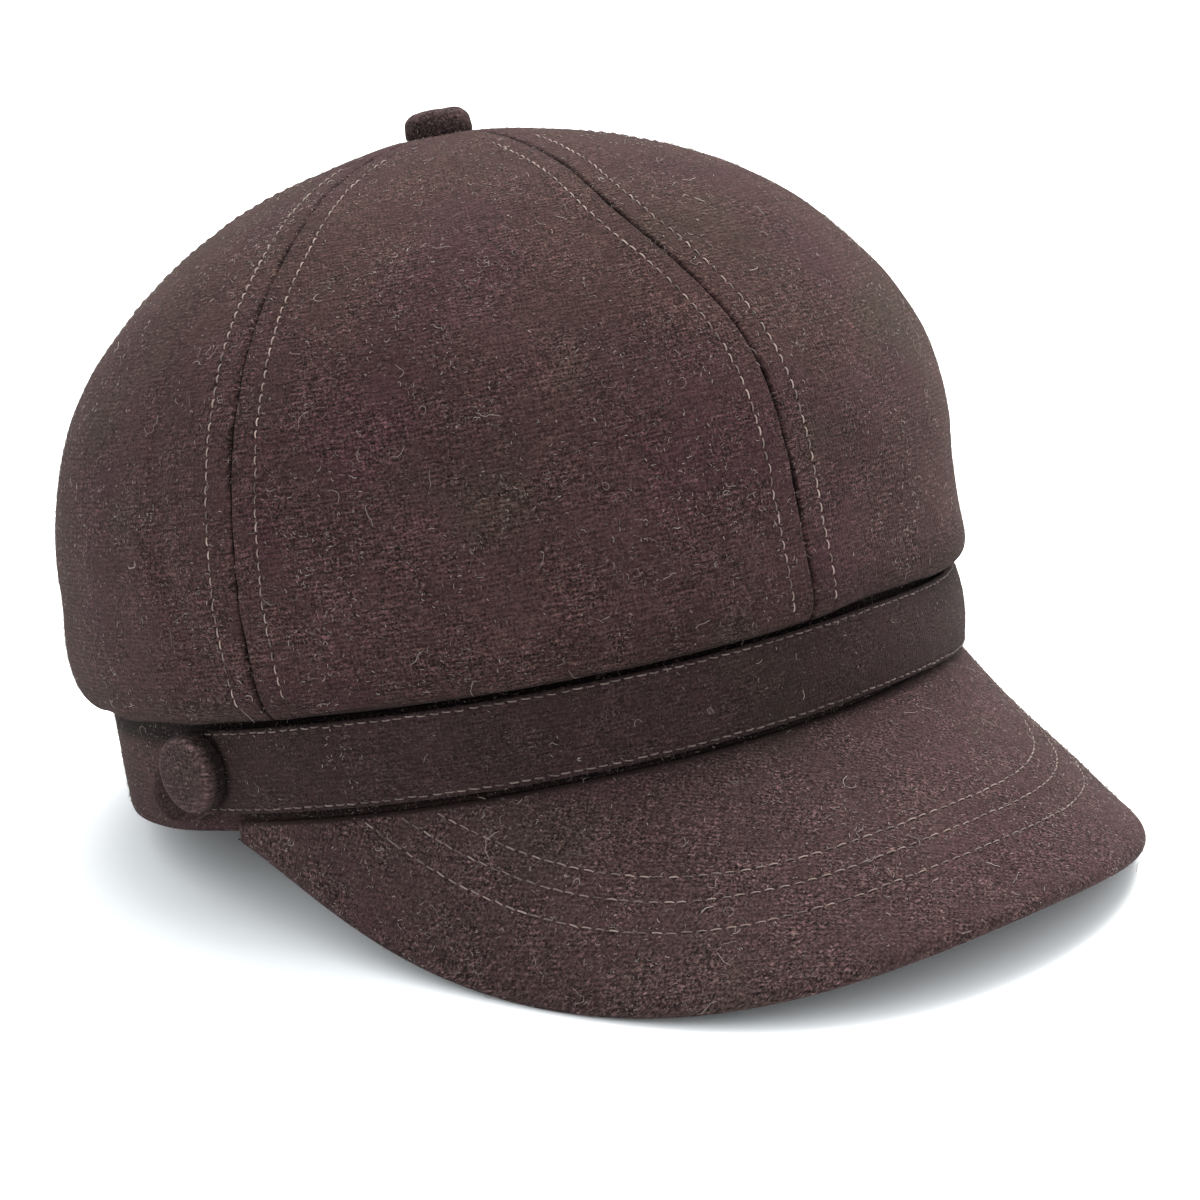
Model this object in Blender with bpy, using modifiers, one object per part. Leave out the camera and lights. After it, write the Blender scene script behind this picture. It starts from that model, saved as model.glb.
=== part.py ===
"""Newsboy cap, life size: a lined crown of six panels with a covered button on top, a headband with a
sweatband inside it, a stiffened visor, and a strap across the front between two covered side buttons.

Every piece is drawn on the upright cap, whose headband stands on z 0 round the Z axis with the visor at
-Y. The cap then leans back as it rests on a table, on the back of its headband and the visor's edge.
"""

import math

import bmesh
import bpy
from mathutils import Vector

UP = Vector((0.0, 0.0, 1.0))

# How the upright cap rests on the table.
LEAN = math.radians(9.4)
REST_Y = 0.02335
REST_Z = 0.01521

# Cloth thicknesses, and the space kept between two pieces that touch.
WOOL = 0.0012
LINING = 0.0005
GAP = 0.0003
LINING_SEAM_GAP = 0.0007

# Headband. Its outer face is 585 mm round, for a head of about 57 cm.
BAND_R = 0.585 / (2 * math.pi)
BAND_H = 0.0241
STIFFENER = 0.0008
SWEATBAND = 0.0008
HEM = 0.0010
ELASTIC_HALF = math.radians(38)
ELASTIC_LOW, ELASTIC_HIGH = 0.004, 0.020
RING_STEPS = 48
RING_STEP = 2 * math.pi / RING_STEPS

# Crown. It is widest at WIDEST_Z and folds in over the strap at the crease.
CROWN_H = 0.1321
APEX_Y = -0.0008
BULGE, BULGE_FRONT, BULGE_SIDE = 0.0056, 0.0016, 0.0016
WIDEST_Z, WIDEST_Z_FRONT = 0.0512, 0.0022
CREASE_R = BAND_R + 0.0033
CREASE_Z = 0.0248
SEAM_R = BAND_R - 0.0005
SEAM_Z = 0.0245
TOP_FLATNESS, TOP_FALL = 0.63, 0.07
SHOULDER_FULLNESS = 0.52
SIDE_FULLNESS = 0.49
OVERHANG, OVERHANG_RISE = 0.006, 0.003
APEX_HOLE = 0.0015
SEAMS = [math.radians(a) for a in (0, 65, 123, 180)]
PANEL_NAMES = ("front", "side", "rear")
PANEL_COLUMNS = 6
PANEL_ROWS = (0.14, 0.28, 0.42, 0.56, 0.70, 0.85, 1.0, 1.3, 1.6, 1.85, 2.0, 3.0)

# Strap, with its ends rounded about a point just past each side button.
STRAP_LOW, STRAP_HIGH = 0.0063, 0.0235
STRAP_R = BAND_R + 0.0029
STRAP_BULGE = 0.0012
STRAP_FACE = 0.0010
STRAP_BACKING = 0.0007
STRAP_MID = (STRAP_LOW + STRAP_HIGH) / 2
STRAP_HALF = (STRAP_HIGH - STRAP_LOW) / 2
STRAP_END_PAST = 0.0012
STRAP_COLUMNS = 26
STRAP_END_COLUMNS = 4
STRAP_END_CUT = math.radians(84)

# Covered buttons, which stand on thread shanks.
TOP_BUTTON_R, TOP_BUTTON_H = 0.0069, 0.0051
SIDE_BUTTON_R, SIDE_BUTTON_H = 0.0080, 0.0042
BUTTON_CLOTH = 0.0009
BUTTON_SHELL = 0.0005
BUTTON_BACK_R = 0.0050
BUTTON_ANGLE = math.radians(79.5)
BUTTON_Z = 0.01545
BUTTON_STEPS = 20
THREAD_R = 0.0009
THREAD_HOLE_R = 0.0016
KNOT_R = 0.0018
TOP_THREAD = 0.0027

# Visor. Its droop and length change from its middle to its corners.
VISOR_HALF = math.radians(81.5)
VISOR_CORNER = math.radians(76.5)
VISOR_L = 0.0601
VISOR_ROOT_R = BAND_R + 0.0013
VISOR_ROOT_Z, VISOR_ROOT_Z_SIDE = 0.0012, 0.0
VISOR_RISE, VISOR_RISE_FALL = 0.0030, 0.4
VISOR_SPREAD = 0.2
VISOR_ROUND, VISOR_TAPER = 3.35, 1.98
VISOR_DROOP, VISOR_DROOP_SIDE = math.radians(27.1), math.radians(53.0)
VISOR_TUCK = 0.004
VISOR_UPPER, VISOR_BOARD, VISOR_LOWER = 0.0010, 0.0012, 0.0009
VISOR_RIM = 0.0018
VISOR_COLUMNS = 26
VISOR_ROWS = (0.0, 0.18, 0.38, 0.58, 0.78, 0.92, 1.0)
RIM_TURNS = [math.radians(a) for a in (40, 80, 120)]

WOOL_COLOUR = (0.078, 0.048, 0.046)
STRAP_COLOUR = (0.052, 0.034, 0.035)
LINING_COLOUR = (0.030, 0.020, 0.020)
RIBBON_COLOUR = (0.024, 0.018, 0.018)
INTERLINING_COLOUR = (0.55, 0.53, 0.48)
BOARD_COLOUR = (0.60, 0.60, 0.58)
STEEL_COLOUR = (0.55, 0.55, 0.56)
THREAD_COLOUR = (0.100, 0.062, 0.048)


def clear_scene():
    for old in list(bpy.data.objects):
        bpy.data.objects.remove(old)


def new_collection(name):
    made = bpy.data.collections.new(name)
    bpy.context.scene.collection.children.link(made)
    return made


def radial(angle):
    """Unit vector away from the cap's axis. Angle 0 is the front, and it grows towards +X, the wearer's left."""
    return Vector((math.sin(angle), -math.cos(angle), 0.0))


def spread(low, high, count):
    return [low + (high - low) * i / count for i in range(count + 1)]


def bezier(a, b, c, d, t):
    s = 1 - t
    return a * s**3 + b * (3 * s * s * t) + c * (3 * s * t * t) + d * t**3


class Kit:
    """Where finished pieces and cutters go, and the empty that leans the whole cap back."""

    def __init__(self):
        self.parts = new_collection("newsboy_cap")
        self.cutters = new_collection("cutters")
        self.rest = bpy.data.objects.new("cap_rest", None)
        self.parts.objects.link(self.rest)
        self.rest.location = (0.0, REST_Y, REST_Z)
        self.rest.rotation_euler = (-LEAN, 0.0, 0.0)

    def add(self, name, bm, origin=None):
        """A new piece whose vertices are in the upright cap's frame, with its own origin at the given point."""
        origin = origin or Vector()
        bmesh.ops.translate(bm, vec=-origin, verts=bm.verts)
        mesh = bpy.data.meshes.new(name)
        bm.to_mesh(mesh)
        bm.free()
        piece = bpy.data.objects.new(name, mesh)
        self.parts.objects.link(piece)
        piece.parent = self.rest
        piece.location = origin
        return piece

    def cutter(self, name, radius, depth, place, direction, segments):
        bm = bmesh.new()
        bmesh.ops.create_cone(
            bm, cap_ends=True, segments=segments, radius1=radius, radius2=radius, depth=depth
        )
        piece = self.add(name, bm)
        self.parts.objects.unlink(piece)
        self.cutters.objects.link(piece)
        piece.location = place
        piece.rotation_euler = direction.to_track_quat("Z", "Y").to_euler()
        piece.hide_render = True
        piece.display_type = "WIRE"
        return piece


def paint(piece, colour, roughness=0.9, metallic=0.0):
    material = bpy.data.materials.new(piece.name)
    material.use_nodes = True
    shader = material.node_tree.nodes["Principled BSDF"]
    shader.inputs["Base Color"].default_value = (*colour, 1.0)
    shader.inputs["Roughness"].default_value = roughness
    shader.inputs["Metallic"].default_value = metallic
    piece.data.materials.append(material)
    piece.data.shade_smooth()
    piece.data.set_sharp_from_angle(angle=math.radians(35))


def sheet(point, across, down):
    """An open grid through point(a, d). Its faces point out where a grows towards +X and d grows downwards."""
    bm = bmesh.new()
    rows = [[bm.verts.new(point(a, d)) for a in across] for d in down]
    for upper, lower in zip(rows, rows[1:]):
        for i in range(len(across) - 1):
            bm.faces.new((upper[i], lower[i], lower[i + 1], upper[i + 1]))
    return bm


def thicken(piece, thickness, depth=0.0):
    """Makes a sheet a layer of that thickness, its outer face that depth below the sheet."""
    layer = piece.modifiers.new("layer", "SOLIDIFY")
    layer.thickness = thickness
    layer.offset = -1.0 - 2.0 * depth / thickness
    layer.use_even_offset = True


def cut(piece, cutter):
    boolean = piece.modifiers.new("cut", "BOOLEAN")
    boolean.operation = "DIFFERENCE"
    boolean.solver = "EXACT"
    boolean.object = cutter


def turned(kit, name, profile, steps, closed):
    """A profile of (radius, height) pairs turned about Z. A closed profile makes a ring, an open one ends on the axis."""
    bm = bmesh.new()
    points = [bm.verts.new((r, 0.0, z)) for r, z in profile]
    for a, b in zip(points, points[1:]):
        bm.edges.new((a, b))
    if closed:
        bm.edges.new((points[-1], points[0]))
    piece = kit.add(name, bm)
    screw = piece.modifiers.new("turn", "SCREW")
    screw.steps = screw.render_steps = steps
    screw.use_merge_vertices = True
    screw.merge_threshold = 1e-5
    return piece


# Crown and lining


def bulge(angle):
    return BULGE + BULGE_FRONT * math.cos(angle) - BULGE_SIDE * math.cos(2 * angle)


def crown_point(angle, s):
    """The crown's outer face: s 0 at the apex, 1 where it is widest, 2 at the crease, 3 at the headband seam."""
    out = radial(angle)
    apex = Vector((0.0, APEX_Y, CROWN_H))
    widest_z = WIDEST_Z + WIDEST_Z_FRONT * math.cos(angle)
    widest = out * (BAND_R + bulge(angle)) + UP * widest_z
    crease = out * CREASE_R + UP * CREASE_Z
    if s <= 1:
        reach = Vector((widest.x, widest.y - APEX_Y, 0.0))
        top = apex + reach * TOP_FLATNESS - UP * (reach.length * TOP_FLATNESS * TOP_FALL)
        shoulder = widest + UP * ((CROWN_H - widest_z) * SHOULDER_FULLNESS)
        return bezier(apex, top, shoulder, widest, s)
    if s <= 2:
        side = widest - UP * ((widest_z - CREASE_Z) * SIDE_FULLNESS)
        over = crease + out * OVERHANG + UP * OVERHANG_RISE
        return bezier(widest, side, over, crease, s - 1)
    return crease.lerp(out * SEAM_R + UP * SEAM_Z, s - 2)


def crown_panel_sheet(low, high, seam_gap):
    """One panel between two seams, half a gap short of each, from the apex hole down to the headband seam."""
    start = APEX_HOLE / (3 * TOP_FLATNESS * (BAND_R + BULGE))

    def point(share, s):
        angle = low + (high - low) * share
        from_axis = crown_point(angle, s) - Vector((0.0, APEX_Y, 0.0))
        shrink = seam_gap / 2 / from_axis.xy.length
        return crown_point(angle + shrink * (1 - 2 * share), s)

    return sheet(point, spread(0.0, 1.0, PANEL_COLUMNS), (start, *PANEL_ROWS))


def panel_spans():
    """Each panel's name and the angles of its two seams, left and right of the middle."""
    for name, low, high in zip(PANEL_NAMES, SEAMS, SEAMS[1:]):
        yield f"{name}_left", low, high
        yield f"{name}_right", -high, -low


def build_crown(kit):
    for name, low, high in panel_spans():
        panel = kit.add(f"crown_panel_{name}", crown_panel_sheet(low, high, GAP))
        thicken(panel, WOOL)
        paint(panel, WOOL_COLOUR)
        lining = kit.add(f"lining_panel_{name}", crown_panel_sheet(low, high, LINING_SEAM_GAP))
        thicken(lining, LINING, WOOL + GAP)
        paint(lining, LINING_COLOUR, roughness=0.5)


# Headband


def band_ring(kit, name, outer, thickness, low, high):
    inner = outer - thickness
    profile = ((outer, high), (outer, low), (inner, low), (inner, high))
    return turned(kit, name, profile, RING_STEPS, closed=True)


def band_strip(kit, name, outer, thickness, span, low, high):
    """Part of a ring about the cap's axis, between two angles."""
    columns = round((span[1] - span[0]) / RING_STEP)
    bm = sheet(lambda a, z: radial(a) * outer + UP * z, spread(*span, columns), (high, low))
    strip = kit.add(name, bm)
    thicken(strip, thickness)
    return strip


def build_headband(kit):
    wool = band_ring(kit, "headband", BAND_R, WOOL, 0.0, BAND_H)
    paint(wool, WOOL_COLOUR)

    core = BAND_R - WOOL - GAP
    clear = ELASTIC_HALF + GAP / core
    stiffener = band_strip(
        kit, "band_stiffener", core, STIFFENER, (clear - math.pi, math.pi - clear), HEM, BAND_H
    )
    paint(stiffener, INTERLINING_COLOUR)
    span = (math.pi - ELASTIC_HALF, math.pi + ELASTIC_HALF)
    elastic = band_strip(kit, "rear_elastic", core, STIFFENER, span, ELASTIC_LOW, ELASTIC_HIGH)
    paint(elastic, RIBBON_COLOUR)

    ribbon = band_ring(kit, "sweatband", core - STIFFENER - GAP, SWEATBAND, HEM, BAND_H)
    paint(ribbon, RIBBON_COLOUR, roughness=0.6)


# Strap


def strap_columns():
    """Angles along the strap, closer together round each end."""
    centre = BUTTON_ANGLE + STRAP_END_PAST / STRAP_R
    turns = spread(0.0, STRAP_END_CUT, STRAP_END_COLUMNS)[1:]
    end = [centre + STRAP_HALF * math.sin(t) / STRAP_R for t in turns]
    return [-a for a in reversed(end)] + spread(-centre, centre, STRAP_COLUMNS) + end


def strap_half_width(angle):
    past = (abs(angle) - BUTTON_ANGLE) * STRAP_R - STRAP_END_PAST
    return math.sqrt(STRAP_HALF**2 - max(past, 0.0) ** 2)


def strap_point(angle, share):
    """The strap's outer face, share -1 at its top edge and 1 at its bottom edge."""
    out = STRAP_R + STRAP_BULGE * (1 - share**2)
    return radial(angle) * out + UP * (STRAP_MID - share * strap_half_width(angle))


def strap_pivot():
    """The middle of the line through both side buttons."""
    return Vector((0.0, radial(BUTTON_ANGLE).y * STRAP_R, BUTTON_Z))


def build_strap(kit):
    holes = [
        kit.cutter(
            f"{side}_thread_hole",
            THREAD_HOLE_R,
            0.012,
            radial(angle) * STRAP_R + UP * BUTTON_Z,
            radial(angle),
            BUTTON_STEPS,
        )
        for side, angle in (("left", BUTTON_ANGLE), ("right", -BUTTON_ANGLE))
    ]
    layers = (
        ("strap_face", STRAP_FACE, 0.0, STRAP_COLOUR),
        ("strap_backing", STRAP_BACKING, STRAP_FACE + GAP, LINING_COLOUR),
    )
    for name, thickness, depth, colour in layers:
        strap = kit.add(name, sheet(strap_point, strap_columns(), spread(-1.0, 1.0, 4)), strap_pivot())
        thicken(strap, thickness, depth)
        for hole in holes:
            cut(strap, hole)
        paint(strap, colour)


# Buttons


def place(piece, point, direction):
    """Stands a turned piece on a point, with its axis along the direction."""
    piece.location = point
    piece.rotation_euler = direction.to_track_quat("Z", "Y").to_euler()


def cover_profile(r, h):
    """Cloth stretched over a domed shell and turned under at its rim."""
    t = BUTTON_CLOTH
    under = BUTTON_BACK_R + GAP
    outer = [(0.0, h), (0.50 * r, 0.97 * h), (0.80 * r, 0.87 * h), (0.96 * r, 0.66 * h)]
    outer += [(r, 0.40 * h), (0.97 * r, 0.12 * h), (0.90 * r, 0.0), (under, 0.0)]
    inner = [(under, t), (0.88 * r, t), (r - t, 0.40 * h), (0.96 * r - t, 0.62 * h)]
    inner += [(0.80 * r - 0.6 * t, 0.87 * h - t), (0.50 * r, 0.97 * h - t), (0.0, h - t)]
    return outer + inner


def shell_profile(r, h):
    """A thin domed cup, open below, inside a cloth of the given size."""
    r, h = r - BUTTON_CLOTH - GAP, h - BUTTON_CLOTH - GAP
    t, low = BUTTON_SHELL, BUTTON_CLOTH + GAP
    outer = [(0.0, h), (0.48 * r, 0.96 * h), (0.78 * r, 0.82 * h), (0.96 * r, 0.58 * h), (0.96 * r, low)]
    inner = [(0.96 * r - t, low), (0.96 * r - t, 0.50 * h), (0.74 * r, 0.82 * h - t)]
    inner += [(0.48 * r, 0.96 * h - t), (0.0, h - t)]
    return outer + inner


def back_profile():
    """A disc with a raised middle, which closes the button behind."""
    high = 2 * BUTTON_CLOTH
    r = BUTTON_BACK_R
    return [(0.0, high), (0.5 * r, high), (0.6 * r, BUTTON_CLOTH), (r, BUTTON_CLOTH), (r, 0.0), (0.0, 0.0)]


def thread_profile(length, knot):
    """A post of wound thread below the button, ending in a knot if it goes right through the cap."""
    post = [(0.0, -GAP), (THREAD_R, -GAP), (THREAD_R, -length)]
    if knot:
        return [*post, (KNOT_R, -length - GAP), (KNOT_R, -length - KNOT_R), (0.0, -length - 1.3 * KNOT_R)]
    return [*post, (0.0, -length)]


def build_button(kit, side, point, direction, size, thread_length, knot):
    pieces = (
        ("button_cover", cover_profile(*size), WOOL_COLOUR, 0.9, 0.0),
        ("button_shell", shell_profile(*size), STEEL_COLOUR, 0.35, 1.0),
        ("button_back", back_profile(), RIBBON_COLOUR, 0.5, 0.0),
        ("button_thread", thread_profile(thread_length, knot), THREAD_COLOUR, 0.8, 0.0),
    )
    for name, profile, colour, roughness, metallic in pieces:
        piece = turned(kit, f"{side}_{name}", profile, BUTTON_STEPS, closed=False)
        place(piece, point, direction)
        paint(piece, colour, roughness, metallic)


def build_buttons(kit):
    top_size = (TOP_BUTTON_R, TOP_BUTTON_H)
    side_size = (SIDE_BUTTON_R, SIDE_BUTTON_H)
    build_button(kit, "top", Vector((0.0, APEX_Y, CROWN_H + GAP)), UP, top_size, TOP_THREAD, knot=True)
    seat_r = STRAP_R + STRAP_BULGE + GAP
    for side, angle in (("left", BUTTON_ANGLE), ("right", -BUTTON_ANGLE)):
        seat = radial(angle) * seat_r + UP * BUTTON_Z
        build_button(kit, side, seat, radial(angle), side_size, seat_r - BAND_R - GAP, knot=False)


# Visor


def visor_point(angle, s, past_edge=0.0):
    """The visor's top face: s 0 at the headband, 1 where its rim begins, and less than 0 inside the band.

    Past 1 the face rolls down round the rim, with s - 1 the angle turned, and past_edge lengthens the
    face without rolling it.
    """
    share = abs(angle) / VISOR_HALF
    droop = VISOR_DROOP + VISOR_DROOP_SIDE * share**2
    root_z = VISOR_ROOT_Z + VISOR_ROOT_Z_SIDE * share**2
    rise = VISOR_RISE * (1 - VISOR_RISE_FALL * share**2)
    root = radial(angle) * VISOR_ROOT_R + UP * (root_z + rise)
    if s < 0:
        return root - radial(angle) * VISOR_TUCK + UP * (VISOR_TUCK * math.tan(droop))
    away = radial(angle * VISOR_SPREAD)
    along = away * math.cos(droop) - UP * math.sin(droop)
    below = -away * math.sin(droop) - UP * math.cos(droop)
    length = VISOR_L * (1 - share**VISOR_ROUND) ** VISOR_TAPER - VISOR_RIM
    if s <= 1:
        return root + along * (s * (length + past_edge)) - UP * (s * rise)
    turn = s - 1
    roll = along * math.sin(turn) + below * (1 - math.cos(turn))
    return root + along * length - UP * rise + roll * VISOR_RIM


def build_visor(kit):
    headband_room = kit.cutter(
        "headband_room", BAND_R + GAP, 0.03 + GAP, UP * (0.015 - GAP / 2), UP, RING_STEPS
    )
    across = spread(-VISOR_CORNER, VISOR_CORNER, VISOR_COLUMNS)
    flat_rows = (-1.0, *VISOR_ROWS)
    rim_rows = [1 + turn for turn in RIM_TURNS]
    board_depth = VISOR_UPPER + GAP
    lower_depth = board_depth + VISOR_BOARD + GAP
    layers = (
        ("visor_upper_cover", VISOR_UPPER, 0.0, 0.0, (*flat_rows, *rim_rows), WOOL_COLOUR),
        ("visor_board", VISOR_BOARD, board_depth, -GAP, flat_rows, BOARD_COLOUR),
        ("visor_lower_cover", VISOR_LOWER, lower_depth, GAP, flat_rows, WOOL_COLOUR),
    )
    for name, thickness, depth, past_edge, rows, colour in layers:
        bm = sheet(lambda a, s, past=past_edge: visor_point(a, s, past), across, rows)
        layer = kit.add(name, bm)
        thicken(layer, thickness, depth)
        cut(layer, headband_room)
        paint(layer, colour)


def main():
    clear_scene()
    kit = Kit()
    build_crown(kit)
    build_headband(kit)
    build_visor(kit)
    build_strap(kit)
    build_buttons(kit)


main()
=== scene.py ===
"""The looks of the newsboy cap: sewn wool panels, visor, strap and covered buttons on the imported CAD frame.

Pieces are drawn on the upright cap, whose headband stands on z 0 round the Z axis with the visor at -Y,
and are then leaned back as the cap rests. Lengths are in metres. Angle 0 is the front of the cap and
angles grow towards +X, the wearer's left.
"""

import math

import bpy
import numpy as np
from mathutils import Matrix, Vector


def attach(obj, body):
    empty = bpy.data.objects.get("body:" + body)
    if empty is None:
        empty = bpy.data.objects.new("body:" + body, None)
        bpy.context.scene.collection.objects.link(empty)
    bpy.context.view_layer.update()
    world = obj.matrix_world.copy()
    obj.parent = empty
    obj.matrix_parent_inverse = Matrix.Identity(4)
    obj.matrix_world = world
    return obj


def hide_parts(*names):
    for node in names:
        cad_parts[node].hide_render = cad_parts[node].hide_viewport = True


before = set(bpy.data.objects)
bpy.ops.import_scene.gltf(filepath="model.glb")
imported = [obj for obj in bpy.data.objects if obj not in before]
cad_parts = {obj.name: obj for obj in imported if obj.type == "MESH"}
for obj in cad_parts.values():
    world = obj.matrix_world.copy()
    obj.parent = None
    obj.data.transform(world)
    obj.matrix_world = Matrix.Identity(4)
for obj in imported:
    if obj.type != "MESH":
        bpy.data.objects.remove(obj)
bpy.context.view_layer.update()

MM = 0.001
UP = np.array((0.0, 0.0, 1.0))

# How the upright cap rests, and the surfaces it shares with its CAD frame.
LEAN = math.radians(9.4)
REST = np.array((0.0, 0.02335, 0.01521))
BAND_R = 0.585 / (2 * math.pi)
BAND_H = 0.0241
CROWN_H = 0.1321
APEX_Y = -0.0008
BULGE, BULGE_FRONT, BULGE_SIDE = 0.0056, 0.0016, 0.0016
WIDEST_Z, WIDEST_Z_FRONT = 0.0512, 0.0022
CREASE_R, CREASE_Z = BAND_R + 0.0033, 0.0248
SEAM_R, SEAM_Z = BAND_R - 0.0005, 0.0245
TOP_FLATNESS, TOP_FALL = 0.63, 0.07
SHOULDER_FULLNESS, SIDE_FULLNESS = 0.52, 0.49
OVERHANG, OVERHANG_RISE = 0.006, 0.003
FOLD_BEFORE, FOLD_AFTER = 0.05, 0.45
SEAMS = (-180, -123, -65, 0, 65, 123, 180)
PANELS = ("rear_right", "side_right", "front_right", "front_left", "side_left", "rear_left")
STRAP_R, STRAP_BULGE = BAND_R + 0.0029, 0.0012
STRAP_MID, STRAP_HALF = 0.01490, 0.00860
STRAP_END_PAST, STRAP_FLARE = 0.0050, 0.0015
BUTTON_ANGLE = math.radians(79.5)
BUTTON_Z = 0.01545
TOP_BUTTON_R, TOP_BUTTON_H = 0.0067, 0.0046
SIDE_BUTTON_R, SIDE_BUTTON_H = 0.0075, 0.0040
VISOR_HALF, VISOR_CORNER = math.radians(81.5), math.radians(76.5)
VISOR_L = 0.0601
VISOR_ROOT_R = BAND_R + 0.0013
VISOR_ROOT_Z = 0.0012
VISOR_RISE, VISOR_RISE_FALL = 0.0030, 0.4
VISOR_SLUMP = 0.85
VISOR_SPREAD, VISOR_ROUND, VISOR_TAPER = 0.2, 3.35, 1.98
VISOR_DROOP, VISOR_DROOP_SIDE = math.radians(27.1), math.radians(53.0)
VISOR_TUCK, VISOR_RIM = 0.0010, 0.0018
# The visor's stitched rows: the distance from the headband, and the angle at which each row ends.
VISOR_ROWS = ((0.0315, 49.0), (0.0370, 53.4), (0.0437, 58.0))

WOOL, LINING = 0.0012, 0.0005
STITCH_PITCH, STITCH_LENGTH = 0.0025, 0.0019
CROWN_STITCH, PUCKER_PITCH = 0.0056, 0.0105
LINING_DEPTH = 0.0033


def smooth(low, high, value):
    t = np.clip((value - low) / (high - low), 0, 1)
    return t * t * (3 - 2 * t)


def bell(value, centre, width):
    return np.exp(-(((value - centre) / width) ** 2))


def unit(vectors):
    return vectors / np.maximum(np.linalg.norm(vectors, axis=-1), 1e-12)[..., None]


def paired(angle, s):
    """Both as float arrays of one shape."""
    return np.broadcast_arrays(np.asarray(angle, float), np.asarray(s, float))


def running(steps):
    """The running total of steps, from 0."""
    return np.concatenate([[0], np.cumsum(steps)])


def length_along(line):
    return running(np.linalg.norm(np.diff(line, axis=0), axis=1))


def within_turn(angle):
    """The same angle between minus and plus half a turn."""
    return (angle + math.pi) % (2 * math.pi) - math.pi


def spread(low, high, step):
    return np.linspace(low, high, max(2, round((high - low) / step) + 1))


def ripple(points, wavelength, seed, waves=14):
    """A smooth random field over points, about -1 to 1, whose features are a wavelength across."""
    rng = np.random.default_rng(seed)
    heading = rng.normal(size=(waves, 3))
    heading /= np.linalg.norm(heading, axis=1)[:, None]
    heading *= 2 * math.pi / wavelength * rng.uniform(0.7, 1.4, (waves, 1))
    phase = rng.uniform(0, 2 * math.pi, waves)
    return np.sin(points @ heading.T + phase).sum(-1) / math.sqrt(waves / 2)


def ripples(points, *layers):
    """Ripples added up, each one given as its height in millimetres, its wavelength and its seed."""
    return sum(height * MM * ripple(points, wavelength, seed) for height, wavelength, seed in layers)


def radial(angle):
    angle = np.asarray(angle, float)
    return np.stack([np.sin(angle), -np.cos(angle), np.zeros_like(angle)], -1)


def placed(angle, out, up):
    """Points at an angle round the cap, out from its axis and up."""
    return radial(angle) * np.asarray(out)[..., None] + UP * np.asarray(up)[..., None]


def bezier(a, b, c, d, t):
    t = t[..., None]
    s = 1 - t
    return a * s**3 + b * (3 * s * s * t) + c * (3 * s * t * t) + d * t**3


def leaned(points):
    """Points of the upright cap, where they are on the resting cap."""
    x, y, z = np.moveaxis(points, -1, 0)
    c, s = math.cos(LEAN), math.sin(LEAN)
    return np.stack([x, c * y + s * z, c * z - s * y], -1) + REST


def outward(surface, a, s, step=1e-3):
    """Unit normals of a surface given as surface(angle, s), with s growing away from the apex or the band."""
    across = surface(a + step, s) - surface(a - step, s)
    down = surface(a, s + step) - surface(a, s - step)
    return unit(np.cross(down, across))


# Surfaces


def crown_base(angle, s):
    """The crown's outer face: s is 0 at the apex, 1 where it is widest, 2 at the crease, 3 at the seam."""
    angle, s = paired(angle, s)
    out = radial(angle)
    apex = np.array((0.0, APEX_Y, CROWN_H))
    bulge = BULGE + BULGE_FRONT * np.cos(angle) - BULGE_SIDE * np.cos(2 * angle)
    widest_z = WIDEST_Z + WIDEST_Z_FRONT * np.cos(angle)
    widest = placed(angle, BAND_R + bulge, widest_z)
    crease = out * CREASE_R + UP * CREASE_Z
    reach = (widest - apex) * (1.0, 1.0, 0.0)
    fall = np.linalg.norm(reach, axis=-1) * TOP_FLATNESS * TOP_FALL
    top = apex + reach * TOP_FLATNESS - UP * fall[..., None]
    shoulder = widest + UP * ((CROWN_H - widest_z) * SHOULDER_FULLNESS)[..., None]
    side = widest - UP * ((widest_z - CREASE_Z) * SIDE_FULLNESS)[..., None]
    over = crease + out * OVERHANG + UP * OVERHANG_RISE
    hem = out * SEAM_R + UP * SEAM_Z

    def plain(at):
        upper = bezier(apex, top, shoulder, widest, np.clip(at, 0, 1))
        lower = bezier(widest, side, over, crease, np.clip(at - 1, 0, 1))
        under = crease + (hem - crease) * np.clip(at - 2, 0, 1)[..., None]
        return np.where(at[..., None] <= 1, upper, np.where(at[..., None] <= 2, lower, under))

    before, after = plain(s * 0 + 2 - FOLD_BEFORE), plain(s * 0 + 2 + FOLD_AFTER)
    t = np.clip((s - 2 + FOLD_BEFORE) / (FOLD_BEFORE + FOLD_AFTER), 0, 1)[..., None]
    fold = before * (1 - t) ** 2 + crease * (2 * t * (1 - t)) + after * t**2
    return np.where((t > 0) & (t < 1), fold, plain(s))


# Length along the crown from its apex, at each step of s.
S_STEPS = 400
ARC_S = np.linspace(0, 3, 3 * S_STEPS + 1)
ARC = length_along(crown_base(np.radians(50.0), ARC_S))


def from_axis(points):
    return np.hypot(points[..., 0], points[..., 1] - APEX_Y)


def seam_lines(s):
    """Angles of the seams at s, the rear one at both ends of the turn. Two were sewn a little off true."""
    s = np.asarray(s, float)
    off = np.zeros((*s.shape, len(SEAMS)))
    off[..., 2] = -3.8 * bell(s, 0.22, 0.13) - 1.2 * smooth(0.8, 1.1, s)
    off[..., 3] = -6.4 * bell(s, 0.42, 0.24)
    off[..., 4] = 1.0 * bell(s, 0.5, 0.3)
    return np.radians(SEAMS + off)


def to_seams(angle, s):
    return within_turn(angle[..., None] - seam_lines(s))


def from_seam(angle, s, base):
    """Distance from the nearest seam."""
    return np.abs(to_seams(angle, s)).min(-1) * from_axis(base)


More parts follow.
